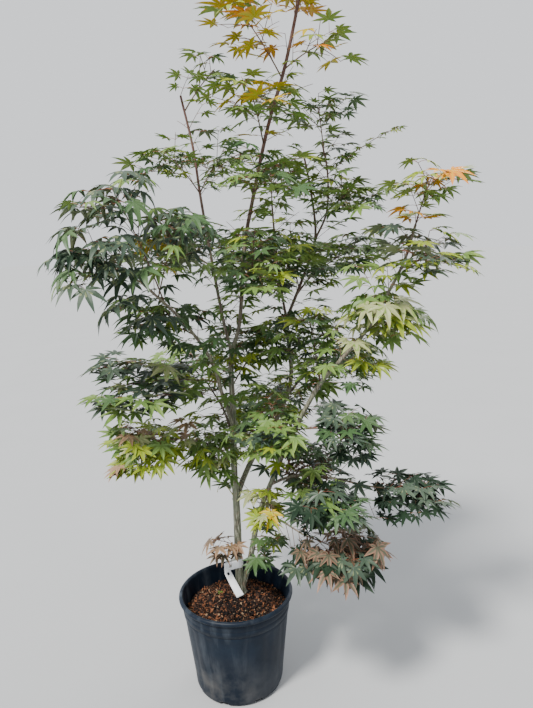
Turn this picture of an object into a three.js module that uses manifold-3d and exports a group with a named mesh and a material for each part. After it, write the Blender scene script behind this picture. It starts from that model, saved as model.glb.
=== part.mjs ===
// A young Japanese maple in a round nursery pot, its stems forking low and its crown open and tiered.
// Millimetres, Z up, with the origin at the centre of the pot's flat underside and the viewer on the -Y side.
import * as THREE from 'three';
import { mergeVertices } from 'three/addons/utils/BufferGeometryUtils.js';
import Module from 'manifold-3d';

const wasm = await Module();
wasm.setup();

// Driving sizes of the pot, the potting mix and the tag.
const GAP = 0.3;
const POT = {
  height: 330, rim: 190, base: 145, wall: 3, floor: 4, rimRoll: 7, rimDepth: 16, bandDepth: 52,
  bandStep: 1, bandRise: 4, lip: { edge: 1, under: 2, top: 2.5, inner: 3 },
  toe: 14, toeHeight: 12, toeCurve: 0.4, floorCurve: 8, floorRise: 10,
};
const FLUTES = { count: 32, depth: 1.2, bottom: 34, top: 272 };
const DRAIN = { count: 8, width: 34, top: 15, inner: 134, outer: 160 };
const MIX = {
  foot: 131.7, footTop: 19, footCurve: 9, edge: 262, slope: 13, crown: 292, flat: 78, shoulder: 40, sides: 16,
};
const TAG = {
  width: 30, thickness: 0.9, loop: 64, round: 15, mouth: 3, end: 4, arcSteps: 4, drop: 0.39,
  tail: 106, tailFrom: 4, tailTop: -19, height: 413, tilt: 0.45, lean: 0.46,
};

// Driving sizes of the stems, twigs and leaves.
const LIMB_STEP = 88;
const LIMB_LEAST_STEPS = 4;
const FLARE = { spread: 9, height: 16 };
const GROUND = { width: 200, depth: 100 };
const CURVE_TENSION = 0.5;
const TWIG = { stem: 4.4, stemTip: 3, side: 1.7, leafStalk: 1.1, sides: 3, steps: 4, clear: 1.2 };
const SIDE_TWIGS = {
  at: [0.5, 0.75], turn: Math.PI / 2.4, anyTurn: 0.9, angle: 0.98, anyAngle: 0.3,
  least: 0.833, most: 0.98, shortest: 60, leafAt: 0.55, leafTurn: 1.2,
};
const TIP_TURNS = [0, 2, -2];
const STEM = { below: 0.9, beyond: 0.45, arch: 0.1, firstStep: 4, searchSteps: 100 };
const UPRIGHT = { leastLevel: 0.2, across: [0.8, -0.6, 0] };
const STALK_SECTION = [[-0.87, 0.5], [0.87, 0.5], [0, -1]];
const LEAF = { reach: 106, petiole: 34, sunk: 2.5, thickness: 3.2, palm: 0.12, margin: 0.9, tries: 12 };
const POSE = {
  turn: 0.4, wider: 0.3, lowest: -0.1, rise: 0.7, flattest: 0.2, droop: 0.8, roll: 0.9,
  smallest: 0.86, growth: 0.24, smaller: 0.03, shorter: 0.05,
};
const LOBES = [
  { angle: -1.78, length: 0.5 },
  { angle: -0.84, length: 0.84 },
  { angle: 0, length: 1 },
  { angle: 0.84, length: 0.84 },
  { angle: 1.78, length: 0.5 },
];
const BLADE = { inner: 0.34, outer: 0.26, tipDrop: 0.14, stalkWidth: 3, thickest: 0.04 };
const FIRST_SEED = 101;
const SEED_STEP = 37;

// The colour and roughness of each finish.
const COLOURS = {
  pot: 0x23272b,
  mix: 0x4a2b1c,
  tag: 0xe8eaea,
  bark: 0x7b7460,
  youngBark: 0x6d4f45,
  deep: 0x2f4a30,
  slate: 0x3f5753,
  mid: 0x4b6b35,
  lime: 0x8ba046,
  gold: 0xb09a35,
  bronze: 0x86705a,
};

// Each limb is named with its parent, its route, its two end radii and its number of sides.
const LIMBS = [
  { name: 'trunk', sides: 8, radius: [15, 7.5], flare: true, route: [
    [15, 35, 270], [15, 33, 330], [14, 25, 420], [16, 9, 560], [16, 0, 645],
    [15, 5, 745], [20, 10, 900], [20, 10, 1060], [25, 10, 1135]] },
  { name: 'right_stem', sides: 7, radius: [11, 3.4], route: [
    [19, 34, 306], [38, 31, 366], [56, 20, 432], [70, 6, 510], [92, -16, 610], [135, -45, 730],
    [195, -80, 880], [275, -120, 1040], [340, -160, 1130], [405, -192, 1215], [450, -212, 1300],
    [500, -226, 1400], [530, -234, 1500]] },
  { name: 'main_leader', sides: 6, radius: [6.4, 4.4], route: [
    [25, 10, 1135], [55, 15, 1230], [80, 10, 1455], [110, 0, 1595], [160, -10, 1790],
    [215, -20, 1955], [255, -28, 2110], [268, -30, 2180]] },
  { name: 'left_leader', sides: 6, radius: [5.2, 3.4], route: [
    [25, 10, 1135], [5, 25, 1230], [-20, 45, 1405], [-45, 60, 1605], [-60, 65, 1755], [-88, 65, 1905]] },
  { name: 'left_bough', sides: 6, radius: [6.8, 3.2], route: [
    [20, 10, 890], [-10, -35, 1010], [-40, -85, 1135], [-115, -150, 1265], [-205, -230, 1375]] },
  { name: 'rear_stem', sides: 7, radius: [9.5, 6.4], route: [
    [15, 0, 645], [45, 40, 705], [95, 100, 775], [180, 170, 875], [230, 205, 990], [230, 225, 1110],
    [225, 235, 1200]] },
  { name: 'rear_leader', sides: 6, radius: [5.6, 3], route: [
    [225, 235, 1200], [285, 230, 1340], [330, 220, 1470], [320, 205, 1610], [295, 200, 1750]] },
  { name: 'rear_left_leader', sides: 5, radius: [4.6, 2.8], route: [
    [225, 235, 1200], [205, 245, 1355], [195, 250, 1495], [190, 258, 1600]] },
  { name: 'rear_side_leader', sides: 5, radius: [3.6, 2.6], route: [
    [330, 220, 1470], [368, 200, 1560], [372, 190, 1680], [356, 184, 1770]] },
  { name: 'low_left_bough', sides: 5, radius: [4.4, 2.4], route: [
    [16, 6, 770], [-40, -6, 832], [-118, -30, 872]] },
  { name: 'skirt_bough', sides: 5, radius: [5, 2.4], route: [
    [128, -42, 712], [210, -76, 748], [320, -106, 742], [440, -122, 712]] },
  { name: 'low_skirt_bough', sides: 5, radius: [4.2, 2.4], route: [
    [80, -18, 585], [140, -78, 608], [222, -132, 572]] },
  { name: 'back_left_bough', sides: 5, radius: [4.6, 2.4], route: [
    [18, 8, 850], [-10, 80, 930], [-58, 165, 1000]] },
  { name: 'back_low_bough', sides: 5, radius: [5, 2.4], route: [
    [70, 70, 738], [92, 165, 790], [122, 275, 826]] },
  { name: 'back_right_bough', sides: 5, radius: [4.8, 2.4], route: [
    [205, 188, 925], [268, 222, 985], [335, 262, 1012]] },
  { name: 'back_mid_bough', sides: 5, radius: [3.8, 2.3], route: [
    [212, 241, 1290], [194, 290, 1345], [166, 345, 1372]] },
  { name: 'back_right_upper_bough', sides: 5, radius: [3.8, 2.3], route: [
    [262, 233, 1285], [318, 262, 1342], [378, 298, 1378]] },
];

// Each foliage mass has the limb it grows from, its centre, its half width and half height, and its tint.
const MASSES = [
  { name: 'crown_top', limb: 'main_leader', centre: [262, -30, 2200], size: [125, 125], tint: 'gold' },
  { name: 'upper_left_spray', limb: 'main_leader', centre: [122, -45, 2050], size: [112, 104], tint: 'gold' },
  { name: 'upper_right_spray', limb: 'main_leader', centre: [296, -60, 1990], size: [104, 76], tint: 'lime' },
  { name: 'leader_spray', limb: 'main_leader', centre: [120, -90, 1840], size: [120, 90], tint: 'lime' },
  { name: 'leader_back_spray', limb: 'main_leader', centre: [205, 85, 1900], size: [125, 100], tint: 'mid' },
  { name: 'left_leader_top', limb: 'left_leader', centre: [-8, 58, 1945], size: [102, 78], tint: 'mid' },
  { name: 'left_leader_side', limb: 'left_leader', centre: [-110, 10, 1700], size: [125, 95], tint: 'mid' },
  { name: 'left_leader_back', limb: 'left_leader', centre: [10, 190, 1720], size: [135, 110], tint: 'mid' },
  { name: 'heart_front', limb: 'main_leader', centre: [125, -125, 1630], size: [140, 110], tint: 'deep' },
  { name: 'rear_top', limb: 'rear_side_leader', centre: [350, 185, 1840], size: [125, 105], tint: 'mid' },
  { name: 'rear_crown', limb: 'rear_left_leader', centre: [195, 290, 1690], size: [130, 105], tint: 'mid' },
  { name: 'rear_shoulder', limb: 'rear_leader', centre: [400, 110, 1590], size: [130, 95], tint: 'mid' },
  { name: 'left_tip_upper', limb: 'left_bough', at: 0.86, centre: [-245, -255, 1580], size: [130, 85],
    tint: 'slate' },
  { name: 'left_tip', limb: 'left_bough', centre: [-290, -310, 1432], size: [125, 80], tint: 'slate' },
  { name: 'left_shoulder', limb: 'left_bough', centre: [-120, -180, 1480], size: [150, 105], tint: 'slate' },
  { name: 'centre_front', limb: 'main_leader', centre: [95, -115, 1400], size: [150, 112], tint: 'deep' },
  { name: 'centre_rear', limb: 'rear_leader', centre: [230, 95, 1420], size: [145, 115], tint: 'mid' },
  { name: 'right_top', limb: 'right_stem', centre: [560, -240, 1590], size: [105, 85], tint: 'lime' },
  { name: 'right_side', limb: 'right_stem', centre: [535, -260, 1405], size: [115, 85], tint: 'mid' },
  { name: 'right_under', limb: 'right_stem', centre: [430, -190, 1240], size: [130, 80], tint: 'lime' },
  { name: 'centre_right', limb: 'right_stem', centre: [270, -60, 1180], size: [140, 110], tint: 'deep' },
  { name: 'left_under', limb: 'left_bough', centre: [-170, -120, 1250], size: [140, 95], tint: 'deep' },
  { name: 'low_left_upper', limb: 'left_bough', centre: [-250, -110, 1070], size: [145, 88], tint: 'slate' },
  { name: 'low_left', limb: 'low_left_bough', centre: [-228, -65, 876], size: [142, 85], tint: 'lime' },
  { name: 'trunk_spray', limb: 'trunk', centre: [-50, -5, 800], size: [115, 88], tint: 'mid' },
  { name: 'heart_low', limb: 'trunk', centre: [115, 95, 1130], size: [140, 115], tint: 'mid' },
  { name: 'centre_low', limb: 'right_stem', centre: [150, -125, 905], size: [150, 110], tint: 'deep' },
  { name: 'trunk_cluster', limb: 'right_stem', centre: [116, -108, 668], size: [82, 62], tint: 'gold' },
  { name: 'skirt_upper', limb: 'right_stem', centre: [325, -150, 905], size: [140, 80], tint: 'deep' },
  { name: 'skirt_middle', limb: 'skirt_bough', centre: [270, -165, 700], size: [145, 85], tint: 'deep' },
  { name: 'skirt_low', limb: 'low_skirt_bough', centre: [325, -196, 536], size: [130, 70], tint: 'bronze' },
  { name: 'skirt_edge', limb: 'skirt_bough', centre: [550, -130, 680], size: [120, 65], tint: 'mid' },
  { name: 'back_left', limb: 'left_leader', centre: [-150, 215, 1460], size: [150, 110], tint: 'mid' },
  { name: 'back_middle', limb: 'back_mid_bough', centre: [120, 400, 1400], size: [150, 110], tint: 'deep' },
  { name: 'back_right', limb: 'back_right_upper_bough', centre: [455, 330, 1410], size: [145, 105],
    tint: 'mid' },
  { name: 'back_low_left', limb: 'back_left_bough', centre: [-125, 260, 1040], size: [150, 105],
    tint: 'mid' },
  { name: 'back_low', limb: 'back_low_bough', centre: [150, 385, 850], size: [150, 95], tint: 'deep' },
  { name: 'back_low_right', limb: 'back_right_bough', centre: [430, 300, 1020], size: [150, 95],
    tint: 'mid' },
  { name: 'back_skirt', limb: 'rear_stem', centre: [290, 190, 690], size: [130, 80], tint: 'bronze' },
];

// A repeatable stream of numbers from 0 to 1.
function seeded(seed) {
  let state = seed >>> 0;
  return () => {
    state = (state + 0x6d2b79f5) >>> 0;
    let t = state;
    t = Math.imul(t ^ (t >>> 15), t | 1);
    t ^= t + Math.imul(t ^ (t >>> 7), t | 61);
    return ((t ^ (t >>> 14)) >>> 0) / 4294967296;
  };
}

const vector = (p) => new THREE.Vector3(p[0], p[1], p[2]);
const UP = new THREE.Vector3(0, 0, 1);

// A closed solid from a geometry, with its shared corners merged.
function solid(geometry) {
  const bare = geometry.clone();
  for (const name of Object.keys(bare.attributes)) {
    if (name !== 'position') bare.deleteAttribute(name);
  }
  const merged = mergeVertices(bare, 1e-4);
  return new wasm.Manifold(new wasm.Mesh({
    numProp: 3,
    vertProperties: new Float32Array(merged.attributes.position.array),
    triVerts: new Uint32Array(merged.index.array),
  }));
}

// A geometry from a closed solid.
function geometryOf(body) {
  const mesh = body.getMesh();
  const geometry = new THREE.BufferGeometry();
  geometry.setAttribute('position', new THREE.BufferAttribute(mesh.vertProperties, 3));
  geometry.setIndex(new THREE.BufferAttribute(mesh.triVerts, 1));
  return geometry;
}

function geometryFrom(points, triangles) {
  const geometry = new THREE.BufferGeometry();
  geometry.setAttribute('position', new THREE.Float32BufferAttribute(points.flatMap((p) => p.toArray()), 3));
  geometry.setIndex(triangles);
  return geometry;
}

// A round rod along a row of centres: one ring to a centre, turned as little as possible, with flat ends.
function rod(centres, radii, sides) {
  const points = [];
  const triangles = [];
  let across = null;
  centres.forEach((centre, ring) => {
    const before = centres[Math.max(ring - 1, 0)];
    const after = centres[Math.min(ring + 1, centres.length - 1)];
    const along = after.clone().sub(before).normalize();
    across ??= new THREE.Vector3(1, 0.37, 0.11);
    across = across.clone().addScaledVector(along, -across.dot(along)).normalize();
    const beside = along.clone().cross(across);
    for (let side = 0; side < sides; side += 1) {
      const turn = (2 * Math.PI * side) / sides;
      points.push(centre.clone()
        .addScaledVector(across, radii[ring] * Math.cos(turn))
        .addScaledVector(beside, radii[ring] * Math.sin(turn)));
    }
  });
  for (let ring = 0; ring < centres.length - 1; ring += 1) {
    for (let side = 0; side < sides; side += 1) {
      const a = ring * sides + side;
      const b = ring * sides + ((side + 1) % sides);
      triangles.push(a, b, b + sides, a, b + sides, a + sides);
    }
  }
  const last = (centres.length - 1) * sides;
  for (let side = 1; side < sides - 1; side += 1) {
    triangles.push(0, side + 1, side);
    triangles.push(last, last + side, last + side + 1);
  }
  return solid(geometryFrom(points, triangles));
}

// Limbs

function limbCurve(limb) {
  return new THREE.CatmullRomCurve3(limb.route.map(vector), false, 'catmullrom', CURVE_TENSION);
}

// The trunk spreads at its foot; every limb narrows evenly to its tip.
function limbRadius(limb, along, centre) {
  const [root, tip] = limb.radius;
  const even = root + (tip - root) * along;
  const above = Math.max(centre.z - MIX.crown, 0);
  return limb.flare ? even + FLARE.spread * Math.exp(-above / FLARE.height) : even;
}

// The limb as a solid, made thicker and longer by grow.
function limbSolid(limb, grow) {
  const curve = limbCurve(limb);
  const steps = Math.max(LIMB_LEAST_STEPS, Math.round(curve.getLength() / LIMB_STEP));
  const centres = [];
  const radii = [];
  for (let step = 0; step <= steps; step += 1) {
    const centre = curve.getPoint(step / steps);
    centres.push(centre);
    radii.push(limbRadius(limb, step / steps, centre) + grow);
  }
  const end = centres[steps].clone().sub(centres[steps - 1]).normalize();
  centres[steps].addScaledVector(end, grow);
  return rod(centres, radii, limb.sides);
}

function largestPiece(body) {
  const pieces = body.decompose();
  return pieces.reduce((best, piece) => (piece.volume() > best.volume() ? piece : best));
}

// Every limb is cut clear of the ones before it, and the trunk is cut flat at the top of the potting mix.
function makeLimbs() {
  const box = new THREE.BoxGeometry(GROUND.width, GROUND.width, GROUND.depth);
  const ground = solid(box.translate(0, 0, MIX.crown + GAP - GROUND.depth / 2));
  const made = [];
  for (const limb of LIMBS) {
    let body = limbSolid(limb, 0).subtract(ground);
    for (const earlier of made) body = body.subtract(earlier.grown);
    made.push({ limb, body: largestPiece(body), grown: limbSolid(limb, GAP) });
  }
  return made;
}

// Foliage

// The space of a mass is its own side of the plane between it and each other mass, weighted by their sizes.
function inSpace(mass, point, margin) {
  const own = point.distanceToSquared(mass.middle) - mass.weight;
  return MASSES.every((other) => {
    if (other === mass) return true;
    const theirs = point.distanceToSquared(other.middle) - other.weight;
    return theirs - own >= 2 * margin * other.middle.distanceTo(mass.middle);
  });
}

// How far a line from start along direction runs before it leaves the egg-shaped outline of a mass.
function roomInside(mass, start, direction) {
  const [wide, tall] = mass.size;
  const from = start.clone().sub(mass.middle).divide(new THREE.Vector3(wide, wide, tall));
  const step = direction.clone().divide(new THREE.Vector3(wide, wide, tall));
  const a = step.lengthSq();
  const b = from.dot(step);
  const c = from.lengthSq() - 1;
  return (Math.sqrt(Math.max(b * b - a * c, 0)) - b) / a;
}

// The stem leaves its limb at the place nearest to a spot below the mass and arches through the middle.
function stemRoute(mass) {
  const curve = limbCurve(LIMBS.find((limb) => limb.name === mass.limb));
  const spot = mass.middle.clone().addScaledVector(UP, -STEM.below * mass.size[1]);
  let root = curve.getPoint(mass.at ?? 1);
  for (let step = STEM.firstStep; step < STEM.searchSteps && !mass.at; step += 1) {
    const place = curve.getPoint(step / STEM.searchSteps);
    if (place.distanceTo(spot) < root.distanceTo(spot)) root = place;
  }
  const direction = mass.middle.clone().sub(root).normalize();
  const reach = STEM.beyond * roomInside(mass, mass.middle, direction);
  const end = mass.middle.clone().addScaledVector(direction, reach);
  const bend = root.clone().lerp(end, 0.5).addScaledVector(UP, STEM.arch * root.distanceTo(end));
  return new THREE.QuadraticBezierCurve3(root, bend, end);
}

// Twigs leave the stem in opposite pairs, each pair turned across the last, and fill the outline.
function sideTwigs(mass, stem, random) {
  const twigs = [];
  SIDE_TWIGS.at.forEach((at, pair) => {
    const start = stem.getPoint(at);
    const along = stem.getTangent(at);
    const level = new THREE.Vector3().crossVectors(along, UP);
    if (level.length() < UPRIGHT.leastLevel) level.set(...UPRIGHT.across);
    level.normalize();
    const over = new THREE.Vector3().crossVectors(level, along);
    const turn = pair * SIDE_TWIGS.turn + (random() - 0.5) * SIDE_TWIGS.anyTurn;
    for (const side of [-1, 1]) {
      const spread = SIDE_TWIGS.angle + (random() - 0.5) * SIDE_TWIGS.anyAngle;
      const direction = along.clone().multiplyScalar(Math.cos(spread))
        .addScaledVector(level, side * Math.sin(spread) * Math.cos(turn))
        .addScaledVector(over, side * Math.sin(spread) * Math.sin(turn));
      const fill = SIDE_TWIGS.least + (SIDE_TWIGS.most - SIDE_TWIGS.least) * random();
      const length = fill * roomInside(mass, start, direction);
      if (length < SIDE_TWIGS.shortest) continue;
      const heading = Math.atan2(direction.y, direction.x);
      twigs.push({ start, end: start.clone().addScaledVector(direction, length), heading });
    }
  });
  return twigs;
}

// The rim of a leaf: from its right to its left corner at the stalk, round five pointed lobes.
function leafRim(place, reach) {
  const polar = (angle, length, z) => place(length * Math.cos(angle), length * Math.sin(angle), z);
  const rim = [place(-LEAF.palm * reach, -BLADE.stalkWidth / 2, 0)];
  LOBES.forEach((lobe, index) => {
    const length = lobe.length * reach;
    rim.push(polar(lobe.angle, length, -BLADE.tipDrop * length));
    if (index === LOBES.length - 1) return;
    const between = (lobe.angle + LOBES[index + 1].angle) / 2;
    const depth = Math.abs(between) < LOBES[3].angle ? BLADE.inner : BLADE.outer;
    rim.push(polar(between, depth * reach, 0));
  });
  rim.push(place(-LEAF.palm * reach, BLADE.stalkWidth / 2, 0));
  return rim;
}

// A leaf, thickest at the palm, on a three-sided stalk that runs back from its base to its root.
function leafSolids(root, base, thick, pose) {
  const { outward, droop, roll, scale } = pose;
  const reach = LEAF.reach * scale;
  const midrib = outward.clone().multiplyScalar(Math.cos(droop)).addScaledVector(UP, -Math.sin(droop));
  const left = new THREE.Vector3().crossVectors(UP, outward).applyAxisAngle(midrib, roll);
  const face = new THREE.Vector3().crossVectors(midrib, left);
  const palm = base.clone().addScaledVector(midrib, LEAF.palm * reach);
  const place = (x, y, z) => palm.clone()
    .addScaledVector(midrib, x).addScaledVector(left, y).addScaledVector(face, z);
  const half = LEAF.thickness / 2;
  const rim = leafRim(place, reach);
  const thickest = BLADE.thickest * reach;
  const points = [place(thickest, 0, half), place(thickest, 0, -half), ...rim];
  const first = 2;
  const last = first + rim.length - 1;
  const triangles = [0, last, first];
  for (let corner = first; corner < last; corner += 1) {
    triangles.push(0, corner, corner + 1);
    triangles.push(1, corner + 1, corner);
  }
  const blade = solid(geometryFrom(points, [...triangles, 1, first, last]));
  const stalk = base.clone().sub(root).normalize();
  const above = new THREE.Vector3().crossVectors(stalk, left).normalize();
  const beside = new THREE.Vector3().crossVectors(above, stalk);
  const right = last + 1;
  const stalkPoints = STALK_SECTION.map(([x, y]) => root.clone()
    .addScaledVector(stalk, -GAP).addScaledVector(beside, thick * x).addScaledVector(above, thick * y));
  const whole = solid(geometryFrom([...points, ...stalkPoints], [...triangles,
    first, last, right + 1, first, right + 1, right,
    last, 1, right + 2, last, right + 2, right + 1,
    1, first, right, 1, right, right + 2,
    right, right + 1, right + 2]));
  return { corners: points, blade, whole };
}

function boxesMeet(a, b) {
  return [0, 1, 2].every((axis) => a.min[axis] < b.max[axis] && b.min[axis] < a.max[axis]);
}

function touches(body, others) {
  const box = body.boundingBox();
  return others.some((other) => {
    if (!boxesMeet(box, other.boundingBox())) return false;
    const shared = body.intersect(other);
    const meets = !shared.isEmpty();
    shared.delete();
    return meets;
  });
}

// The angles and size of a leaf, freer and smaller at each attempt.
function leafPose(heading, attempt, random) {
  const turn = heading + (random() - 0.5) * (POSE.turn + POSE.wider * attempt);
  return {
    outward: new THREE.Vector3(Math.cos(turn), Math.sin(turn), 0),
    rise: POSE.lowest + POSE.rise * random(),
    droop: POSE.flattest + POSE.droop * random(),
    roll: (random() - 0.5) * POSE.roll,
    scale: POSE.smallest + POSE.growth * random() - POSE.smaller * attempt,
  };
}

// Where a leaf's blade begins: at the far end of its twig, or a stalk's length out from its root.
function leafBase(place, attempt, pose) {
  if (place.end) return place.root.clone().lerp(place.end, 1 - POSE.shorter * attempt);
  return place.root.clone()
    .addScaledVector(pose.outward, LEAF.petiole * Math.cos(pose.rise))
    .addScaledVector(UP, LEAF.petiole * Math.sin(pose.rise));
}

// One leaf, tried at a few angles until it lies in its space and touches nothing.
function tryLeaf(mass, place, random, obstacles, leaves) {
  for (let attempt = 0; attempt < LEAF.tries; attempt += 1) {
    const pose = leafPose(place.heading, attempt, random);
    const leaf = leafSolids(place.root, leafBase(place, attempt, pose), place.thick, pose);
    if (!leaf.corners.every((corner) => inSpace(mass, corner, LEAF.margin))) continue;
    if (touches(leaf.whole, obstacles)) continue;
    if (touches(leaf.whole, leaves.map((other) => other.blade))) continue;
    if (touches(leaf.blade, leaves.map((other) => other.whole))) continue;
    return leaf;
  }
  return null;
}

// A threesome of leaves stands at the stem's end; each side twig runs out to a leaf and may carry another.
function growLeaves(mass, random, obstacles) {
  const { stem } = mass;
  const twigs = sideTwigs(mass, stem, random);
  const leaves = [];
  const grow = (place) => {
    const leaf = inSpace(mass, place.root, TWIG.side) && tryLeaf(mass, place, random, obstacles, leaves);
    if (leaf) leaves.push(leaf);
    return Boolean(leaf);
  };
  const tangent = stem.getTangent(1);
  const tip = stem.getPoint(1).addScaledVector(tangent, -LEAF.sunk);
  const ahead = Math.atan2(tangent.y, tangent.x);
  for (const turn of TIP_TURNS) grow({ root: tip, heading: ahead + turn, thick: TWIG.leafStalk });
  twigs.forEach(({ start, end, heading }, index) => {
    const grown = grow({ root: start, end, heading, thick: TWIG.side });
    const root = start.clone().lerp(end, SIDE_TWIGS.leafAt);
    if (grown && index % 2) grow({ root, heading: heading + SIDE_TWIGS.leafTurn, thick: TWIG.leafStalk });
  });
  return leaves;
}

function makeMass(mass, limbs, stems, earlier) {
  const random = seeded(mass.seed);
  const otherStems = stems.filter((other) => other.mass !== mass);
  const obstacles = [...limbs, ...otherStems].map((other) => other.clear);
  let body = stemSolid(mass.stem, 0);
  for (const leaf of growLeaves(mass, random, obstacles)) body = body.add(leaf.whole);
  for (const made of limbs) body = body.subtract(made.grown);
  for (const other of earlier) body = body.subtract(other);
  return largestPiece(body);
}

function stemSolid(stem, grow) {
  const centres = stem.getPoints(TWIG.steps);
  const radii = centres.map((centre, ring) => (
    TWIG.stem + ((TWIG.stemTip - TWIG.stem) * ring) / TWIG.steps + grow));
  return rod(centres, radii, TWIG.sides);
}

function makeMasses(limbs) {
  MASSES.forEach((mass, index) => {
    mass.seed = FIRST_SEED + SEED_STEP * index;
    mass.middle = vector(mass.centre);
    mass.weight = (mass.size[0] ** 2 + mass.size[1] ** 2) / 2;
  });
  for (const mass of MASSES) mass.stem = stemRoute(mass);
  for (const made of limbs) made.clear = limbSolid(made.limb, TWIG.clear);
  const stems = MASSES.map((mass) => ({ mass, clear: stemSolid(mass.stem, TWIG.clear) }));
  const grown = MASSES.map((mass) => stemSolid(mass.stem, GAP));
  return MASSES.map((mass, index) => (
    { mass, body: makeMass(mass, limbs, stems, grown.slice(0, index)) }));
}

// Pot, potting mix and tag

function potRadius(height) {
  return POT.base + ((POT.rim - POT.rimRoll - POT.base) * height) / POT.height;
}

function potProfile() {
  const top = POT.height;
  const inner = (height) => potRadius(height) - POT.wall;
  const band = top - POT.bandDepth;
  const roll = POT.rimRoll;
  const underRim = top - POT.rimDepth;
  const { lip } = POT;
  const outside = [
    [0, 0], [POT.base - POT.toe, 0], [POT.base - POT.toe * POT.toeCurve, POT.toeHeight / 4],
    [POT.base, POT.toeHeight], [potRadius(FLUTES.bottom), FLUTES.bottom],
    [potRadius(FLUTES.top), FLUTES.top], [potRadius(band) - POT.bandStep, band],
    [potRadius(band) + POT.bandStep, band + POT.bandRise], [potRadius(underRim) + POT.bandStep, underRim],
    [POT.rim - lip.edge, underRim + lip.under], [POT.rim, top - roll + lip.edge], [POT.rim - lip.top, top],
  ];
  const inside = [
    [POT.rim - roll - lip.edge, top], [inner(underRim), top - roll - lip.inner], [inner(band), band],
    [inner(POT.toeHeight), POT.floor + POT.floorRise], [inner(0) - POT.floorCurve, POT.floor],
    [0, POT.floor],
  ];
  const rows = [...outside, ...inside];
  return rows.map(([radius, height]) => new THREE.Vector2(radius, height));
}

// A turned pot, its wall pressed into shallow upright flutes and its foot notched for drainage.
function makePot() {
  const geometry = new THREE.LatheGeometry(potProfile(), FLUTES.count);
  const position = geometry.attributes.position;
  for (let index = 0; index < position.count; index += 1) {
    const point = new THREE.Vector3().fromBufferAttribute(position, index);
    const radius = Math.hypot(point.x, point.z);
    const fluted = point.y >= FLUTES.bottom && point.y <= FLUTES.top && radius > potRadius(point.y) - 1;
    const step = Math.round((Math.atan2(point.x, point.z) / (2 * Math.PI)) * FLUTES.count);
    const scale = fluted && step % 2 ? 1 - FLUTES.depth / radius : 1;
    position.setXYZ(index, point.x * scale, point.y, point.z * scale);
  }
  geometry.rotateX(Math.PI / 2);
  let body = solid(geometry);
  for (let notch = 0; notch < DRAIN.count; notch += 1) {
    const cutter = new THREE.BoxGeometry(DRAIN.outer - DRAIN.inner, DRAIN.width, 2 * DRAIN.top);
    cutter.translate((DRAIN.inner + DRAIN.outer) / 2, 0, 0);
    cutter.rotateZ((2 * Math.PI * (notch + 0.5)) / DRAIN.count);
    body = body.subtract(solid(cutter));
  }
  return body;
}

// The mix fills the pot, heaped a little, with a level place where the trunk stands.
function makeMix() {
  const inner = (height) => potRadius(height) - POT.wall - FLUTES.depth - GAP;
  const floor = POT.floor + GAP;
  const rows = [
    [0, floor], [MIX.foot, floor], [MIX.foot, MIX.footTop],
    [inner(MIX.footTop + MIX.footCurve), MIX.footTop + MIX.footCurve], [inner(MIX.edge), MIX.edge],
    [inner(MIX.edge) - MIX.shoulder, MIX.edge + MIX.slope], [MIX.flat, MIX.crown], [0, MIX.crown],
  ];
  const geometry = new THREE.LatheGeometry(rows.map(([x, y]) => new THREE.Vector2(x, y)), MIX.sides);
  geometry.rotateX(Math.PI / 2);
  return solid(geometry);
}

// The place on a limb's centreline at a height.
function placeAtHeight(limb, height) {
  const points = limbCurve(limb).getPoints(200);
  return points.reduce((best, point) => (
    Math.abs(point.z - height) < Math.abs(best.z - height) ? point : best));
}

// The outline of the loop seen from above: round the trunk, and drawn out to a flat end.
function tagOutline(inset) {
  const { round, loop, mouth, end } = TAG;
  const outline = new THREE.Shape();
  outline.absarc(0, 0, round - inset, -Math.PI / 2, Math.PI / 2, false);
  const far = round - loop + (inset > 0 ? end : 0);
  outline.lineTo(far, mouth / 2 - inset);
  outline.lineTo(far, inset - mouth / 2);
  outline.closePath();
  return outline;
}

// A strip looped round the trunk, sloping away from it, with a tail that hangs from the low end.
function makeTag(trunk) {
  const outline = tagOutline(0);
  outline.holes.push(tagOutline(TAG.thickness));
  const loop = new THREE.ExtrudeGeometry(outline, {
    depth: TAG.width, bevelEnabled: false, curveSegments: TAG.arcSteps,
  });
  loop.translate(0, 0, -TAG.width / 2);
  const corners = loop.attributes.position;
  for (let index = 0; index < corners.count; index += 1) {
    corners.setZ(index, corners.getZ(index) + TAG.drop * Math.min(corners.getX(index), 0));
  }
  const tail = new THREE.BoxGeometry(TAG.width, TAG.thickness, TAG.tail);
  tail.translate(0, 0, -TAG.tail / 2);
  tail.rotateY(-TAG.tilt);
  tail.rotateX(-TAG.lean);
  tail.translate(TAG.round - TAG.loop + TAG.tailFrom, 0, TAG.tailTop);
  const place = placeAtHeight(LIMBS[0], TAG.height);
  const body = solid(loop).add(solid(tail)).translate([place.x, place.y, place.z]);
  return body.subtract(trunk);
}

// The whole plant

function addNode(group, name, body, colour, roughness) {
  const material = new THREE.MeshStandardMaterial({ color: colour, roughness, metalness: 0 });
  const mesh = new THREE.Mesh(geometryOf(body), material);
  mesh.name = name;
  group.add(mesh);
}

const plant = new THREE.Group();
const limbs = makeLimbs();
addNode(plant, 'pot', makePot(), COLOURS.pot, 0.55);
addNode(plant, 'potting_mix', makeMix(), COLOURS.mix, 0.95);
addNode(plant, 'plant_tag', makeTag(limbs[0].grown), COLOURS.tag, 0.5);
for (const made of limbs) {
  const colour = made.limb.radius[0] > 6 ? COLOURS.bark : COLOURS.youngBark;
  addNode(plant, made.limb.name, made.body, colour, 0.8);
}
for (const made of makeMasses(limbs)) {
  addNode(plant, made.mass.name, made.body, COLOURS[made.mass.tint], 0.7);
}

export default plant;
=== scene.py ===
"""A young Japanese maple in a nursery pot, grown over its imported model.

Metres, Z up, the viewer on the -Y side and the origin at the middle of the pot's flat underside.
"""
import math

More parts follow.
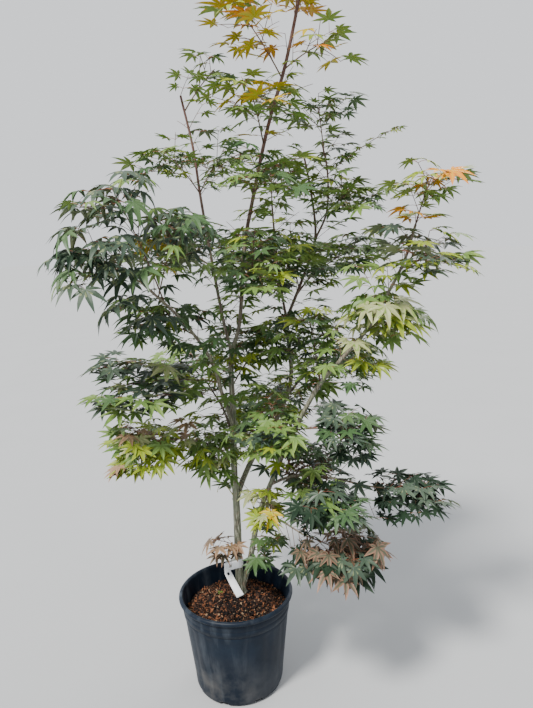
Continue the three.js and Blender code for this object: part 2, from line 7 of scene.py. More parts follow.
import bpy
import numpy as np
from mathutils import Matrix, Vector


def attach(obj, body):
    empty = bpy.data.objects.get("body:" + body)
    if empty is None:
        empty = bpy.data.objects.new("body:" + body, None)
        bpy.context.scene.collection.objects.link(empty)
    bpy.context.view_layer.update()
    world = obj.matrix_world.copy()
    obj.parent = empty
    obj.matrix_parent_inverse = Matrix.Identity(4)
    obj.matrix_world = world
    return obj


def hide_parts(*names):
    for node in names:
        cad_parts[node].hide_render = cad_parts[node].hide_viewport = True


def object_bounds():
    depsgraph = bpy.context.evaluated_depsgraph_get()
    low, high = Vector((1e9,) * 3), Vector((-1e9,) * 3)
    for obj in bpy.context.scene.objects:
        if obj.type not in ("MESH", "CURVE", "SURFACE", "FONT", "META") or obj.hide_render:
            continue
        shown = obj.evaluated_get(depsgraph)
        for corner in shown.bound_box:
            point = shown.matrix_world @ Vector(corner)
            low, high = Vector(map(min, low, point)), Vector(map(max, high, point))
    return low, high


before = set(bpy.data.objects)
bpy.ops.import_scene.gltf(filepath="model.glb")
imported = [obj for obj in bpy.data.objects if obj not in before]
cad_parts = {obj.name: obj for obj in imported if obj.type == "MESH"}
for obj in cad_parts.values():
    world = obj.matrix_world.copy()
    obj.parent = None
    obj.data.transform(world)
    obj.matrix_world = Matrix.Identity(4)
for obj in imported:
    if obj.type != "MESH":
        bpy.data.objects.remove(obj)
CAD_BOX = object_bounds()
UP = np.array([0.0, 0.0, 1.0])

# Camera: where it stands, its turns in degrees and its focal length in pixels of the photo.
CAMERA = {"place": (0, -1.84, 1.47), "down": 10.6, "right": 4.15, "roll": -2.2, "focal_px": 600}
IMAGE_WIDTH_PX = 533
SENSOR_WIDTH_MM = 36

# Pot: a wall that leans out from a rounded foot to a band and a rolled rim, with flutes and drain notches.
POT = {"height": 0.330, "rim": 0.190, "base": 0.145, "wall": 0.003, "floor": 0.004, "roll": 0.008,
       "band": 0.063, "toe": 0.014, "toe_height": 0.012, "toe_points": 8, "around": 256}
POT_BODY = {"lowest": 0.018, "under_band": 0.006, "rows": 40}
ROLL = {"from": -0.45 * math.pi, "to": 0.62 * math.pi, "points": 14}
POT_INSIDE = {"lip": 0.010, "lip_read": 0.016, "below_rim": 0.020, "lowest": 0.016, "rows": 24,
              "floor_inset": 0.011}
# Corners of the two beads on the band: the height where the wall's radius is read, the corner's own
# height, both above the band's foot, and how far the corner stands out from the wall.
BEADS = ((0.0, -0.003, -0.0012), (0.0, 0.0, -0.0012), (0.0, 0.002, 0.0016), (0.020, 0.020, 0.0016),
         (0.020, 0.022, 0.0004), (0.020, 0.024, 0.0014), (0.043, 0.044, 0.0014), (0.043, 0.046, -0.0004))
FLUTES = {"count": 16, "depth": 0.0019, "bottom": 0.034, "top": 0.262, "fade": 0.012}
DRAIN = {"count": 8, "width": 0.034, "narrowing": 0.25, "top": 0.015, "inner": 0.134, "outer": 0.160}

# Potting mix: its section, the lumps on it as waves in radians for each metre, and the chips over it.
MIX = {"seat": 0.0003, "foot": 0.1317, "foot_top": 0.019, "side": (0.028, 0.1, 0.18), "gap": 0.0015,
       "edge": 0.262, "slope": 0.013, "shoulder": 0.040, "crown": 0.292, "flat": 0.078, "sunk": 0.004,
       "middle": 0.004, "rows": 40, "around": 96}
LUMPS = {"height": 0.0011, "x_wave": 310, "y_wave": 270, "y_shift": 1, "slow_wave": 150, "slow_shift": 2,
         "below_edge": 0.01}
CHIPS = {"count": 4600, "length": (0.004, 0.016), "width": (0.0022, 0.0062), "thickness": (0.001, 0.0030),
         "ragged": 0.16, "tilt": 0.6, "tilt_lift": 0.2, "sunk": 0.001, "off_wall": 0.006, "off_trunk": 0.017}
# Each kind of chip has two close colours and a share. Moss grows in its own spot only.
CHIP_COLOURS = {
    "rust": ((0.090, 0.032, 0.015), (0.23, 0.090, 0.040)),
    "brown": ((0.024, 0.011, 0.007), (0.070, 0.034, 0.020)),
    "dark": ((0.003, 0.002, 0.002), (0.010, 0.006, 0.005)),
    "straw": ((0.29, 0.19, 0.115), (0.20, 0.13, 0.08)),
    "moss": ((0.070, 0.130, 0.020), (0.120, 0.180, 0.030)),
}
CHIP_SHARES = (0.26, 0.30, 0.39, 0.05, 0)
MOSS = {"spot": (-0.052, 0.046), "spread": 0.008}
# Painted shade on the chips: more dark chips round a spot at the front of the mix, the most share at its
# middle.
PAINTED_SHADE_SPOT = {"spot": (0.020, -0.045), "spread": 0.095, "most": 0.60}

# Tag: a strip laid in a loop round the trunk and in a tail that hangs from it, each with a small slot.
TAG = {"width": 0.030, "thickness": 0.0006, "height": 0.413, "columns": 7, "slot_columns": (2, 4)}
LOOP = {"reach": 0.064, "round": 0.0154, "drop": 0.39, "half_gap": 0.0012, "nose": 0.0006,
        "bend_points": 25, "leg_points": 16, "slot_rows": (5, 8)}
TAIL = {"length": 0.104, "inset": 0.0036, "forward": 0.001, "lower": 0.019, "way": (0.436, -0.400, -0.807),
        "across": (0.900, 0.193, 0.390), "twist": 0.15, "bow": 0.004, "points": 26, "slot_rows": (4, 6),
        "width_places": (0, 0.05, 0.14, 1), "widths": (0.0090, 0.0090, 0.0228, 0.0258)}
TRUNK_STEPS = 400

# Limbs: the steps along each one, the trunk's flare at the mix, and the rings and relief of the bark.
FINE_STEPS = 800
FEWEST_STEPS = 8
LIMB_SAMPLE = 0.008
FLARE = {"spread": 0.009, "height": 0.016, "ripple": 0.3, "ripples": 4, "ripple_shift": 0.7}
BARK = {"ring": 0.005, "thick": 0.007, "thick_sides": 28, "thin_sides": 14, "young": 0.006,
        "ridge": 0.022, "ridge_waves": (2, 3, 5, 7, 9), "drift": 14, "sway": 0.7, "sway_rates": (20, 60),
        "joint": 0.055, "joint_every": 0.058, "joint_width": 0.0028, "collar": 0.4, "collar_length": 0.011}
# Bark's age from 0, old and grey, to 1, young and red: low down and high up on each limb.
AGE_HEIGHTS = (0.7, 1.7)
AGES = {"trunk": (0.0, 0.35), "right_stem": (0.0, 0.65), "left_bough": (0.1, 0.7), "rear_stem": (0.2, 1.0),
        "main_leader": (-0.3, 1.0), "left_leader": (-0.2, 1.0)}
OTHER_AGES = (0.45, 1.0)

# Growth: how a mass's stem runs, how far a twig rises at its middle, and the chance in its turns.
GROWTH = {"below": 0.9, "beyond": 0.45, "arch": 0.1, "rise": 0.07, "any_turn": 0.9, "any_angle": 0.3}
LEAST_LEVEL = 0.2
UPRIGHT_ACROSS = np.array([0.8, -0.6, 0])
FIRST_SEED = 101
SEED_STEP = 37
# Twigs in opposite pairs: where they leave, how far each pair is turned from the last and how many such
# turns the first has, their angle, the least and most of the way to the mass's outline that they fill,
# and the length under which none grows.
PAIR_TURN = math.pi / 2.4
TWIGS = {
    "main": {"at": (0.5, 0.75), "turn": PAIR_TURN, "first": 0, "angle": 0.98, "fill": (0.833, 0.98),
             "shortest": 0.06},
    "fine": {"at": (0.20, 0.38, 0.62, 0.88), "turn": PAIR_TURN, "first": 0.5, "angle": 0.85,
             "fill": (0.5, 0.85), "shortest": 0.035},
    "twiglet": {"at": (0.30, 0.62), "turn": 0, "first": 0, "angle": 0.8, "fill": (0.35, 0.7),
                "shortest": 0.03},
}
# Rods: the radii at a rod's root and end, its sides and its rings.
RODS = {
    "stem": ((0.0023, 0.0013), 6, 8),
    "main": ((0.0013, 0.0008), 6, 8),
    "fine": ((0.0010, 0.0007), 6, 8),
    "twiglet": ((0.0009, 0.0006), 6, 8),
    "shoot": ((0.0016, 0.0010), 6, 8),
    "bare": ((0.0019, 0.0010), 6, 12),
    "stalk": ((0.0008, 0.0006), 3, 4),
}

# Nodes: how far apart pairs of leaves stand along each kind of twig, how far out they turn by turns, and
# how the leaves at its tip turn. Spurs are short twigs along the thinner limbs.
NODES = {"stem": 0.040, "main": 0.034, "fine": 0.032, "twiglet": 0.031}
FIRST_NODE = 0.024
PAIR_SPREADS = (1.15, 0.6)
TIP_PLACE = 0.98
TIP_TURNS = (0.0, 0.95, -0.95)
SPURS = {"every": 0.048, "thickest": 0.0086, "length": (0.02, 0.120), "spread": 0.95, "lowest": 0.58}

# Small shoots on the limbs, each with its root, its end, its leaves' tint and how large they are.
SHOOTS = (
    ((0.015, 0.018, 0.469), (-0.040, -0.010, 0.512), "plum", 1.0),
    ((0.015, 0.020, 0.452), (-0.034, -0.004, 0.470), "bronze", 0.8),
    ((0.056, 0.020, 0.432), (0.092, -0.014, 0.428), "deep", 1.1),
    ((0.062, 0.014, 0.468), (0.118, -0.018, 0.432), "deep", 1.1),
    ((0.066, 0.010, 0.488), (0.112, -0.022, 0.508), "lime", 0.8),
    ((0.070, 0.006, 0.510), (0.140, -0.040, 0.520), "deep", 1.0),
    ((0.372, 0.190, 1.680), (0.596, 0.150, 1.816), "lime", 0.60),
)

# Leafless twigs: two close colours, and the root, the bend and the end.
BARE_TWIGS = {
    "arching_twig": ((0.30, 0.32, 0.10), (0.38, 0.36, 0.14),
                     ((0.016, 0.000, 0.645), (-0.030, -0.016, 0.752), (-0.043, -0.030, 0.690))),
    "dead_twig": ((0.20, 0.075, 0.050), (0.30, 0.15, 0.09),
                  ((0.062, 0.014, 0.465), (0.110, -0.010, 0.485), (0.156, -0.025, 0.521))),
    "dry_sheath": ((0.40, 0.33, 0.16), (0.52, 0.45, 0.25),
                   ((0.036, 0.026, 0.350), (0.038, 0.000, 0.400), (0.054, -0.004, 0.468))),
}

# Leaves: pairs of values low and high in the crown are the middle lobe's reach, how far apart the palms
# are, and how the flattest and the steepest blade droop. A leaf's pose has its stalk's turn, rise and
# length, its blade's roll and its size, with a wider turn and a smaller size at each new try.
LEAF = {"reach": (0.050, 0.052), "apart": (0.017, 0.035), "stalk": 0.032, "tries": 7, "limb_gap": 0.005,
        "pot_gap": 0.01, "thickness": 0.0004, "top": 2.2}
POSE = {"turn": 0.5, "wider": 0.35, "lowest": -0.10, "rise": 0.5, "flattest": (0.0, -0.36),
        "steepest": (0.85, 0.34), "roll": 0.9, "smallest": 0.70, "growth": 0.50, "smaller": 0.03,
        "stalk": 0.75, "stalk_growth": 0.5}
STALK = {"arch": 0.16, "along": 0.0015, "under": 0.0006}
# Each lobe has its angle from the midrib of the leaf and its length as a share of the leaf's reach. The
# widths are those of a lobe as long as the reach, at two places along it.
LOBES = ((-2.25, 0.40), (-1.45, 0.74), (-0.71, 0.95), (0.0, 1.0), (0.71, 0.95), (1.45, 0.74), (2.25, 0.40))
LOBE = {"points": 7, "notch": 0.29, "heel": 0.07, "heel_angle": 0.42, "first": 0.40, "first_width": 0.132,
        "second": 0.70, "second_width": 0.084, "longer": 0.16, "shorter_share": 0.6}
TEST_SHARES = (0.5, 0.95)
# How far a blade curls down and folds up along its lobes, from the least to the most.
CURL = (-0.06, 0.26)
TIP_CURL = 0.05
FOLD = (0.10, 0.55)

# Each tint is a plain base colour, with a second one close to it for the soft change across the crown.
TINTS = {
    "shade": ((0.013, 0.028, 0.016), (0.023, 0.043, 0.024)),
    "deep": ((0.046, 0.098, 0.036), (0.074, 0.132, 0.045)),
    "slate": ((0.038, 0.064, 0.043), (0.064, 0.096, 0.062)),
    "mid": ((0.110, 0.196, 0.047), (0.155, 0.240, 0.055)),
    "lime": ((0.230, 0.305, 0.018), (0.180, 0.268, 0.024)),
    "pale": ((0.340, 0.370, 0.170), (0.280, 0.325, 0.140)),
    "gold": ((0.470, 0.390, 0.008), (0.330, 0.340, 0.012)),
    "amber": ((0.620, 0.270, 0.006), (0.540, 0.340, 0.008)),
    "bronze": ((0.098, 0.094, 0.060), (0.066, 0.080, 0.050)),
    "plum": ((0.300, 0.190, 0.105), (0.215, 0.150, 0.085)),
}
# Each under side has two colours too, and the tints of the leaves that it belongs to.
# The under sides are paler, as a maple's are, and brightened further as painted glow of light through the
# leaf.
UNDERSIDES = {
    "shade": ((0.042, 0.068, 0.040), (0.058, 0.085, 0.050), ("shade",)),
    "dark": ((0.082, 0.150, 0.060), (0.112, 0.172, 0.076), ("deep",)),
    "grey": ((0.150, 0.190, 0.090), (0.200, 0.225, 0.115), ("slate",)),
    "green": ((0.168, 0.275, 0.052), (0.218, 0.302, 0.062), ("mid", "lime", "pale")),
    "gold": ((0.440, 0.370, 0.016), (0.330, 0.345, 0.020), ("gold",)),
    "amber": ((0.590, 0.280, 0.012), (0.520, 0.340, 0.016), ("amber",)),
    "bronze": ((0.190, 0.135, 0.080), (0.150, 0.125, 0.070), ("bronze", "plum")),
}
# Turning leaves change colour from their rims inwards.
RIM_TINTS = {"bronze": (0.310, 0.160, 0.110), "plum": (0.430, 0.245, 0.155), "gold": (0.640, 0.300, 0.006),
             "amber": (0.620, 0.130, 0.005), "pale": (0.420, 0.400, 0.210), "lime": (0.330, 0.330, 0.016)}
# Dark leaves have a duller face than the rest.
SHINE = {"shade": 0.12, "deep": 0.30, "slate": 0.28, "bronze": 0.20}
PLAIN_SHINE = 0.36
FACE_ROUGHNESS = 0.42
UNDERSIDE_ROUGHNESS = 0.62
# Tints whose pieces are passed another tint's slot name.
TINT_SLOTS = {"amber": "leaf_gold", "plum": "leaf_bronze", "shade": "leaf_deep", "pale": "leaf_lime"}

# Each spray is dealt a tint by these shares: a mass's own, by its name, or those of its main tint.
SHARES = {
    "deep": (("deep", 0.45), ("mid", 0.38), ("slate", 0.12), ("lime", 0.05)),
    "slate": (("slate", 0.52), ("shade", 0.16), ("deep", 0.20), ("mid", 0.07), ("gold", 0.05)),
    "mid": (("mid", 0.48), ("deep", 0.28), ("lime", 0.18), ("slate", 0.06)),
    "lime": (("lime", 0.42), ("mid", 0.45), ("deep", 0.13)),
    "gold": (("gold", 0.40), ("lime", 0.35), ("amber", 0.25)),
    "bronze": (("bronze", 0.48), ("plum", 0.10), ("shade", 0.24), ("slate", 0.18)),
}
OWN_SHARES = {
    "upper_left_spray": (("amber", 0.30), ("gold", 0.50), ("lime", 0.20)),
    "crown_top": (("gold", 0.38), ("lime", 0.32), ("amber", 0.15), ("mid", 0.15)),
    "upper_right_spray": (("lime", 0.45), ("gold", 0.25), ("amber", 0.15), ("mid", 0.15)),
    "leader_spray": (("lime", 0.35), ("gold", 0.20), ("mid", 0.45)),
    "left_leader_top": (("mid", 0.45), ("lime", 0.25), ("deep", 0.20), ("gold", 0.10)),
    "heart_front": (("mid", 0.42), ("deep", 0.38), ("lime", 0.20)),
    "centre_front": (("mid", 0.48), ("deep", 0.34), ("lime", 0.18)),
    "centre_low": (("mid", 0.50), ("deep", 0.30), ("slate", 0.12), ("lime", 0.08)),
    "low_left": (("lime", 0.34), ("mid", 0.26), ("pale", 0.26), ("plum", 0.14)),
    "low_left_upper": (("slate", 0.42), ("mid", 0.28), ("deep", 0.12), ("pale", 0.18)),
    "trunk_spray": (("lime", 0.26), ("mid", 0.56), ("pale", 0.18)),
    "right_under": (("lime", 0.30), ("mid", 0.36), ("pale", 0.34)),
    "trunk_cluster": (("lime", 0.35), ("gold", 0.25), ("pale", 0.40)),
    "right_top": (("lime", 0.40), ("mid", 0.35), ("amber", 0.25)),
    "right_side": (("slate", 0.35), ("mid", 0.45), ("lime", 0.20)),
    "skirt_upper": (("deep", 0.38), ("slate", 0.26), ("shade", 0.20), ("mid", 0.16)),
    "skirt_middle": (("shade", 0.36), ("deep", 0.30), ("slate", 0.20), ("mid", 0.14)),
    "skirt_low": (("slate", 0.26), ("bronze", 0.42), ("plum", 0.17), ("shade", 0.15)),
    "skirt_edge": (("shade", 0.75), ("slate", 0.25)),
    "back_skirt": (("deep", 0.50), ("bronze", 0.30), ("slate", 0.20)),
}
# Some masses are barer than the rest, and some have larger leaves.
FULLNESS = {"left_leader_top": 0.40, "left_leader_side": 0.38, "upper_left_spray": 0.82, "crown_top": 0.70,
            "upper_right_spray": 0.40, "leader_spray": 0.50, "leader_back_spray": 0.40, "rear_top": 0.5,
            "left_leader_back": 0.55, "rear_crown": 0.55, "heart_front": 0.65, "rear_shoulder": 0.75,
            "right_top": 0.5, "right_side": 0.7, "skirt_edge": 0.65, "trunk_cluster": 0.22,
            "skirt_low": 0.80, "left_tip": 0.90, "left_tip_upper": 0.85, "left_under": 0.66}
LEAF_SCALES = {"skirt_low": 1.25, "upper_left_spray": 1.35, "crown_top": 1.25, "leader_spray": 1.1,
               "upper_right_spray": 1.1, "right_under": 1.25, "right_side": 1.1, "trunk_cluster": 1.1,
               "low_left_upper": 1.2, "left_under": 1.15, "left_shoulder": 1.2, "left_tip": 1.25,
               "left_tip_upper": 1.2}
# Some masses' leaves hang more or less steeply than their height alone gives, and some arch more.
EXTRA_DROOPS = {"left_tip": 0.08, "left_tip_upper": 0.05, "left_shoulder": 0.08, "left_under": 0.16,
                "skirt_low": 0.25, "right_under": 0.16, "low_left_upper": -0.20}
EXTRA_CURLS = {"left_tip": 0.34, "left_tip_upper": 0.34, "left_shoulder": 0.30, "left_under": 0.15,
               "right_under": 0.12, "skirt_low": 0.10}

# The other finishes, each one colour or a dark and a pale one.
BLACK_PLASTIC = ((0.004, 0.008, 0.016), (0.010, 0.018, 0.031))
# Pale grey for the pot's dust and its painted sunlight on the left; a browner one for the same at its foot.
DUST_AND_SUNLIGHT = (0.090, 0.106, 0.125)
FOOT_DUST_AND_SUNLIGHT = (0.160, 0.146, 0.126)
DARK_MIX = ((0.010, 0.006, 0.005), (0.032, 0.017, 0.011))
WHITE_PLASTIC = (0.93, 0.95, 0.97)
SMUDGE = (0.66, 0.67, 0.66)
OLD_BARK = ((0.090, 0.092, 0.062), (0.46, 0.46, 0.36))
OLD_STRIPE = (0.070, 0.072, 0.048)
OLD_GREEN = (0.20, 0.235, 0.145)
OLD_TAN = (0.27, 0.19, 0.135)
YOUNG_BARK = ((0.070, 0.034, 0.031), (0.170, 0.088, 0.072))
YOUNG_PATCH = (0.14, 0.110, 0.075)
YOUNG_SPECK = (0.42, 0.33, 0.24)
TWIG_SKIN = ((0.10, 0.050, 0.038), (0.17, 0.110, 0.055))
STALK_SKIN = ((0.21, 0.050, 0.038), (0.30, 0.120, 0.050))

# Each limb has its two end radii and the places that it runs through.
LIMBS = {
    "trunk": {"radius": (0.015, 0.0075), "route": (
        (0.015, 0.035, 0.270), (0.015, 0.033, 0.330), (0.014, 0.025, 0.420), (0.016, 0.009, 0.560),
        (0.016, 0.000, 0.645), (0.015, 0.005, 0.745), (0.020, 0.010, 0.900), (0.020, 0.010, 1.060),
        (0.025, 0.010, 1.135))},
    "right_stem": {"radius": (0.011, 0.0034), "route": (
        (0.019, 0.034, 0.306), (0.038, 0.031, 0.366), (0.056, 0.020, 0.432), (0.070, 0.006, 0.510),
        (0.092, -0.016, 0.610), (0.135, -0.045, 0.730), (0.195, -0.080, 0.880), (0.275, -0.120, 1.040),
        (0.340, -0.160, 1.130), (0.405, -0.192, 1.215), (0.450, -0.212, 1.300), (0.500, -0.226, 1.400),
        (0.530, -0.234, 1.500))},
    "main_leader": {"radius": (0.0064, 0.0044), "route": (
        (0.025, 0.010, 1.135), (0.055, 0.015, 1.230), (0.080, 0.010, 1.455), (0.110, 0.000, 1.595),
        (0.160, -0.010, 1.790), (0.215, -0.020, 1.955), (0.255, -0.028, 2.110), (0.268, -0.030, 2.180))},
    "left_leader": {"radius": (0.0052, 0.0034), "route": (
        (0.025, 0.010, 1.135), (0.005, 0.025, 1.230), (-0.020, 0.045, 1.405), (-0.045, 0.060, 1.605),
        (-0.060, 0.065, 1.755), (-0.088, 0.065, 1.905))},
    "left_bough": {"radius": (0.0068, 0.0032), "route": (
        (0.020, 0.010, 0.890), (-0.010, -0.035, 1.010), (-0.040, -0.085, 1.135), (-0.115, -0.150, 1.265),
        (-0.205, -0.230, 1.375))},
    "rear_stem": {"radius": (0.0095, 0.0064), "route": (
        (0.015, 0.000, 0.645), (0.045, 0.040, 0.705), (0.095, 0.100, 0.775), (0.180, 0.170, 0.875),
        (0.230, 0.205, 0.990), (0.230, 0.225, 1.110), (0.225, 0.235, 1.200))},
    "rear_leader": {"radius": (0.0056, 0.003), "route": (
        (0.225, 0.235, 1.200), (0.285, 0.230, 1.340), (0.330, 0.220, 1.470), (0.320, 0.205, 1.610),
        (0.295, 0.200, 1.750))},
    "rear_left_leader": {"radius": (0.0046, 0.0028), "route": (
        (0.225, 0.235, 1.200), (0.205, 0.245, 1.355), (0.195, 0.250, 1.495), (0.190, 0.258, 1.600))},
    "rear_side_leader": {"radius": (0.0036, 0.0026), "route": (
        (0.330, 0.220, 1.470), (0.368, 0.200, 1.560), (0.372, 0.190, 1.680), (0.356, 0.184, 1.770))},
    "low_left_bough": {"radius": (0.0044, 0.0024), "route": (
        (0.016, 0.006, 0.770), (-0.040, -0.006, 0.832), (-0.118, -0.030, 0.872))},
    "skirt_bough": {"radius": (0.005, 0.0024), "route": (
        (0.128, -0.042, 0.712), (0.210, -0.076, 0.748), (0.320, -0.106, 0.742), (0.440, -0.122, 0.712))},
    "low_skirt_bough": {"radius": (0.0042, 0.0024), "route": (
        (0.080, -0.018, 0.585), (0.140, -0.078, 0.608), (0.222, -0.132, 0.572))},
    "back_left_bough": {"radius": (0.0046, 0.0024), "route": (
        (0.018, 0.008, 0.850), (-0.010, 0.080, 0.930), (-0.058, 0.165, 1.000))},
    "back_low_bough": {"radius": (0.005, 0.0024), "route": (
        (0.070, 0.070, 0.738), (0.092, 0.165, 0.790), (0.122, 0.275, 0.826))},
    "back_right_bough": {"radius": (0.0048, 0.0024), "route": (
        (0.205, 0.188, 0.925), (0.268, 0.222, 0.985), (0.335, 0.262, 1.012))},
    "back_mid_bough": {"radius": (0.0038, 0.0023), "route": (
        (0.212, 0.241, 1.290), (0.194, 0.290, 1.345), (0.166, 0.345, 1.372))},
    "back_right_upper_bough": {"radius": (0.0038, 0.0023), "route": (
        (0.262, 0.233, 1.285), (0.318, 0.262, 1.342), (0.378, 0.298, 1.378))},
}

# Each foliage mass has the limb that it grows from, its middle, its half width and half height, and its
# main tint.
MASSES = (
    ("crown_top", "main_leader", (0.262, -0.030, 2.200), (0.125, 0.125), "gold"),
    ("upper_left_spray", "main_leader", (0.122, -0.045, 2.050), (0.112, 0.104), "gold"),
    ("upper_right_spray", "main_leader", (0.296, -0.060, 1.990), (0.104, 0.076), "lime"),
    ("leader_spray", "main_leader", (0.120, -0.090, 1.840), (0.120, 0.090), "lime"),
    ("leader_back_spray", "main_leader", (0.205, 0.085, 1.900), (0.125, 0.100), "mid"),
    ("left_leader_top", "left_leader", (-0.008, 0.058, 1.945), (0.102, 0.078), "mid"),
    ("left_leader_side", "left_leader", (-0.110, 0.010, 1.700), (0.125, 0.095), "mid"),
    ("left_leader_back", "left_leader", (0.010, 0.190, 1.720), (0.135, 0.110), "mid"),
    ("heart_front", "main_leader", (0.125, -0.125, 1.630), (0.140, 0.110), "deep"),
    ("rear_top", "rear_side_leader", (0.350, 0.185, 1.840), (0.125, 0.105), "mid"),
    ("rear_crown", "rear_left_leader", (0.195, 0.290, 1.690), (0.130, 0.105), "mid"),
    ("rear_shoulder", "rear_leader", (0.400, 0.110, 1.590), (0.130, 0.095), "mid"),
    ("left_tip_upper", "left_bough", (-0.245, -0.255, 1.580), (0.130, 0.085), "slate"),
    ("left_tip", "left_bough", (-0.290, -0.310, 1.432), (0.125, 0.080), "slate"),
    ("left_shoulder", "left_bough", (-0.120, -0.180, 1.480), (0.150, 0.105), "slate"),
    ("centre_front", "main_leader", (0.095, -0.115, 1.400), (0.150, 0.112), "deep"),
    ("centre_rear", "rear_leader", (0.230, 0.095, 1.420), (0.145, 0.115), "mid"),
    ("right_top", "right_stem", (0.560, -0.240, 1.590), (0.105, 0.085), "lime"),
    ("right_side", "right_stem", (0.535, -0.260, 1.405), (0.115, 0.085), "mid"),
    ("right_under", "right_stem", (0.430, -0.190, 1.240), (0.130, 0.080), "lime"),
    ("centre_right", "right_stem", (0.270, -0.060, 1.180), (0.140, 0.110), "deep"),
    ("left_under", "left_bough", (-0.170, -0.120, 1.250), (0.140, 0.095), "deep"),
    ("low_left_upper", "left_bough", (-0.250, -0.110, 1.070), (0.145, 0.088), "slate"),
    ("low_left", "low_left_bough", (-0.228, -0.065, 0.876), (0.142, 0.085), "lime"),
    ("trunk_spray", "trunk", (-0.050, -0.005, 0.800), (0.115, 0.088), "mid"),
    ("heart_low", "trunk", (0.115, 0.095, 1.130), (0.140, 0.115), "mid"),
    ("centre_low", "right_stem", (0.150, -0.125, 0.905), (0.150, 0.110), "deep"),
    ("trunk_cluster", "right_stem", (0.116, -0.108, 0.668), (0.082, 0.062), "gold"),
    ("skirt_upper", "right_stem", (0.325, -0.150, 0.905), (0.140, 0.080), "deep"),
    ("skirt_middle", "skirt_bough", (0.270, -0.165, 0.700), (0.145, 0.085), "deep"),
    ("skirt_low", "low_skirt_bough", (0.325, -0.196, 0.536), (0.130, 0.070), "bronze"),
    ("skirt_edge", "skirt_bough", (0.550, -0.130, 0.680), (0.120, 0.065), "mid"),
    ("back_left", "left_leader", (-0.150, 0.215, 1.460), (0.150, 0.110), "mid"),
    ("back_middle", "back_mid_bough", (0.120, 0.400, 1.400), (0.150, 0.110), "deep"),
    ("back_right", "back_right_upper_bough", (0.455, 0.330, 1.410), (0.145, 0.105), "mid"),
    ("back_low_left", "back_left_bough", (-0.125, 0.260, 1.040), (0.150, 0.105), "mid"),
    ("back_low", "back_low_bough", (0.150, 0.385, 0.850), (0.150, 0.095), "deep"),
    ("back_low_right", "back_right_bough", (0.430, 0.300, 1.020), (0.150, 0.095), "mid"),
    ("back_skirt", "rear_stem", (0.290, 0.190, 0.690), (0.130, 0.080), "bronze"),
)
# Shares of its limb's route at which a mass's stem may leave, and the share at which one of them does.
ROOT_SHARES = np.concatenate([[1], np.arange(4, 100) / 100])
ROOT_PLACES = {"left_tip_upper": 0.86}

# Stage: the floor, the sky, and the soft suns, each with the way to it, its strength, its softness and
# its colour.
FLOOR_HALF = 60.0
FLOOR_TONES = ((0.368, 0.379, 0.393), (0.378, 0.389, 0.403))
SKY = ((0.94, 0.965, 1.0), 1.15)
SUNS = (
    ("key", (-0.55, -0.62, 1.15), 6.0, 0.20, (1.0, 0.97, 0.91)),
    ("rim", (0.75, 0.9, 0.9), 1.0, 0.5, (1.0, 0.97, 0.92)),
)
SUN_DISTANCE = 5

# Curves, tubes and meshes

# A box one metre wide: its corners and its faces.
BOX_CORNERS = np.array([[x, y, z] for x in (0, 1) for y in (0, 1) for z in (0, 1)], float)
BOX_FACES = np.array([[0, 1, 3, 2], [4, 6, 7, 5], [0, 4, 5, 1], [2, 3, 7, 6], [0, 2, 6, 4], [1, 5, 7, 3]])


def unit(vectors):
    """Vectors divided by their lengths."""
    return vectors / np.linalg.norm(vectors, axis=-1, keepdims=True)


def turned(first, second, angle):
    """Two coordinates turned by an angle: the first by its cosine less the second by its sine, and the
    first by its sine plus the second by its cosine."""
    return first * np.cos(angle) - second * np.sin(angle), first * np.sin(angle) + second * np.cos(angle)


def share_between(pair, share):
    """The value at a share of the way from the pair's first to its second."""
    return pair[0] + (pair[1] - pair[0]) * share


def curve_through(route, t):
    """Points on the curve through a route: each stretch is the cubic that leaves and reaches its two
    points at half the step between their neighbours, and t from 0 to 1 gives every stretch the same share."""
    route = np.asarray(route, float)
    ends = np.vstack([2 * route[0] - route[1], route, 2 * route[-1] - route[-2]])
    stretches = len(route) - 1
    place = np.clip(np.asarray(t, float) * stretches, 0, stretches - 1e-9)
    first = place.astype(int)
    part = (place - first)[..., None]
    before, start, finish, after = (ends[first + step] for step in range(4))
    leave = (finish - before) / 2
    reach = (after - start) / 2
    square = 3 * (finish - start) - 2 * leave - reach
    cube = 2 * (start - finish) + leave + reach
    return start + leave * part + square * part ** 2 + cube * part ** 3


def arch(path, t):
    """Points on an arch from root to end: root, bend and end weighed by (1-t)^2, 2t(1-t) and t^2."""
    root, bend, end = path
    part = np.asarray(t, float)[..., None]
    return root * (1 - part) ** 2 + bend * 2 * part * (1 - part) + end * part ** 2


def arch_slope(path, t):
    """The slope of the arch at t: twice the two legs, weighed by 1-t and t."""
    root, bend, end = path
    return 2 * (1 - t) * (bend - root) + 2 * t * (end - bend)


def across_rows(centres):
    """Two directions across each centre of each row: the world axis least along the row with its part
    along the curve taken out, and the cross product of the curve's direction with it."""
    along = unit(np.gradient(centres, axis=-2))
    chord = np.abs(centres[..., -1, :] - centres[..., 0, :])
    axis = np.eye(3)[np.argmin(chord, axis=-1)][..., None, :]
    across = unit(axis - along * (along * axis).sum(-1, keepdims=True))
    return across, np.cross(along, across)


def tubes(centres, radii):
    """Rods along rows of centres (n, k, 3): a ring lies across each centre, its points at the radii
    (n, k, sides) and evenly turned. Gives the points and the faces, with flat ends."""
    rows, rings, sides = radii.shape
    across, beside = across_rows(centres)
    turn = np.arange(sides) * 2 * np.pi / sides
    around = across[:, :, None] * np.cos(turn)[:, None] + beside[:, :, None] * np.sin(turn)[:, None]
    points = centres[:, :, None] + around * radii[..., None]
    number = np.arange(rows * rings * sides).reshape(rows, rings, sides)
    beyond = np.roll(number, -1, axis=2)
    walls = np.stack([number[:, :-1], beyond[:, :-1], beyond[:, 1:], number[:, 1:]], axis=-1)
    ends = np.concatenate([number[:, 0, ::-1], number[:, -1]])
    return points.reshape(-1, 3), [walls.reshape(-1, 4), ends]


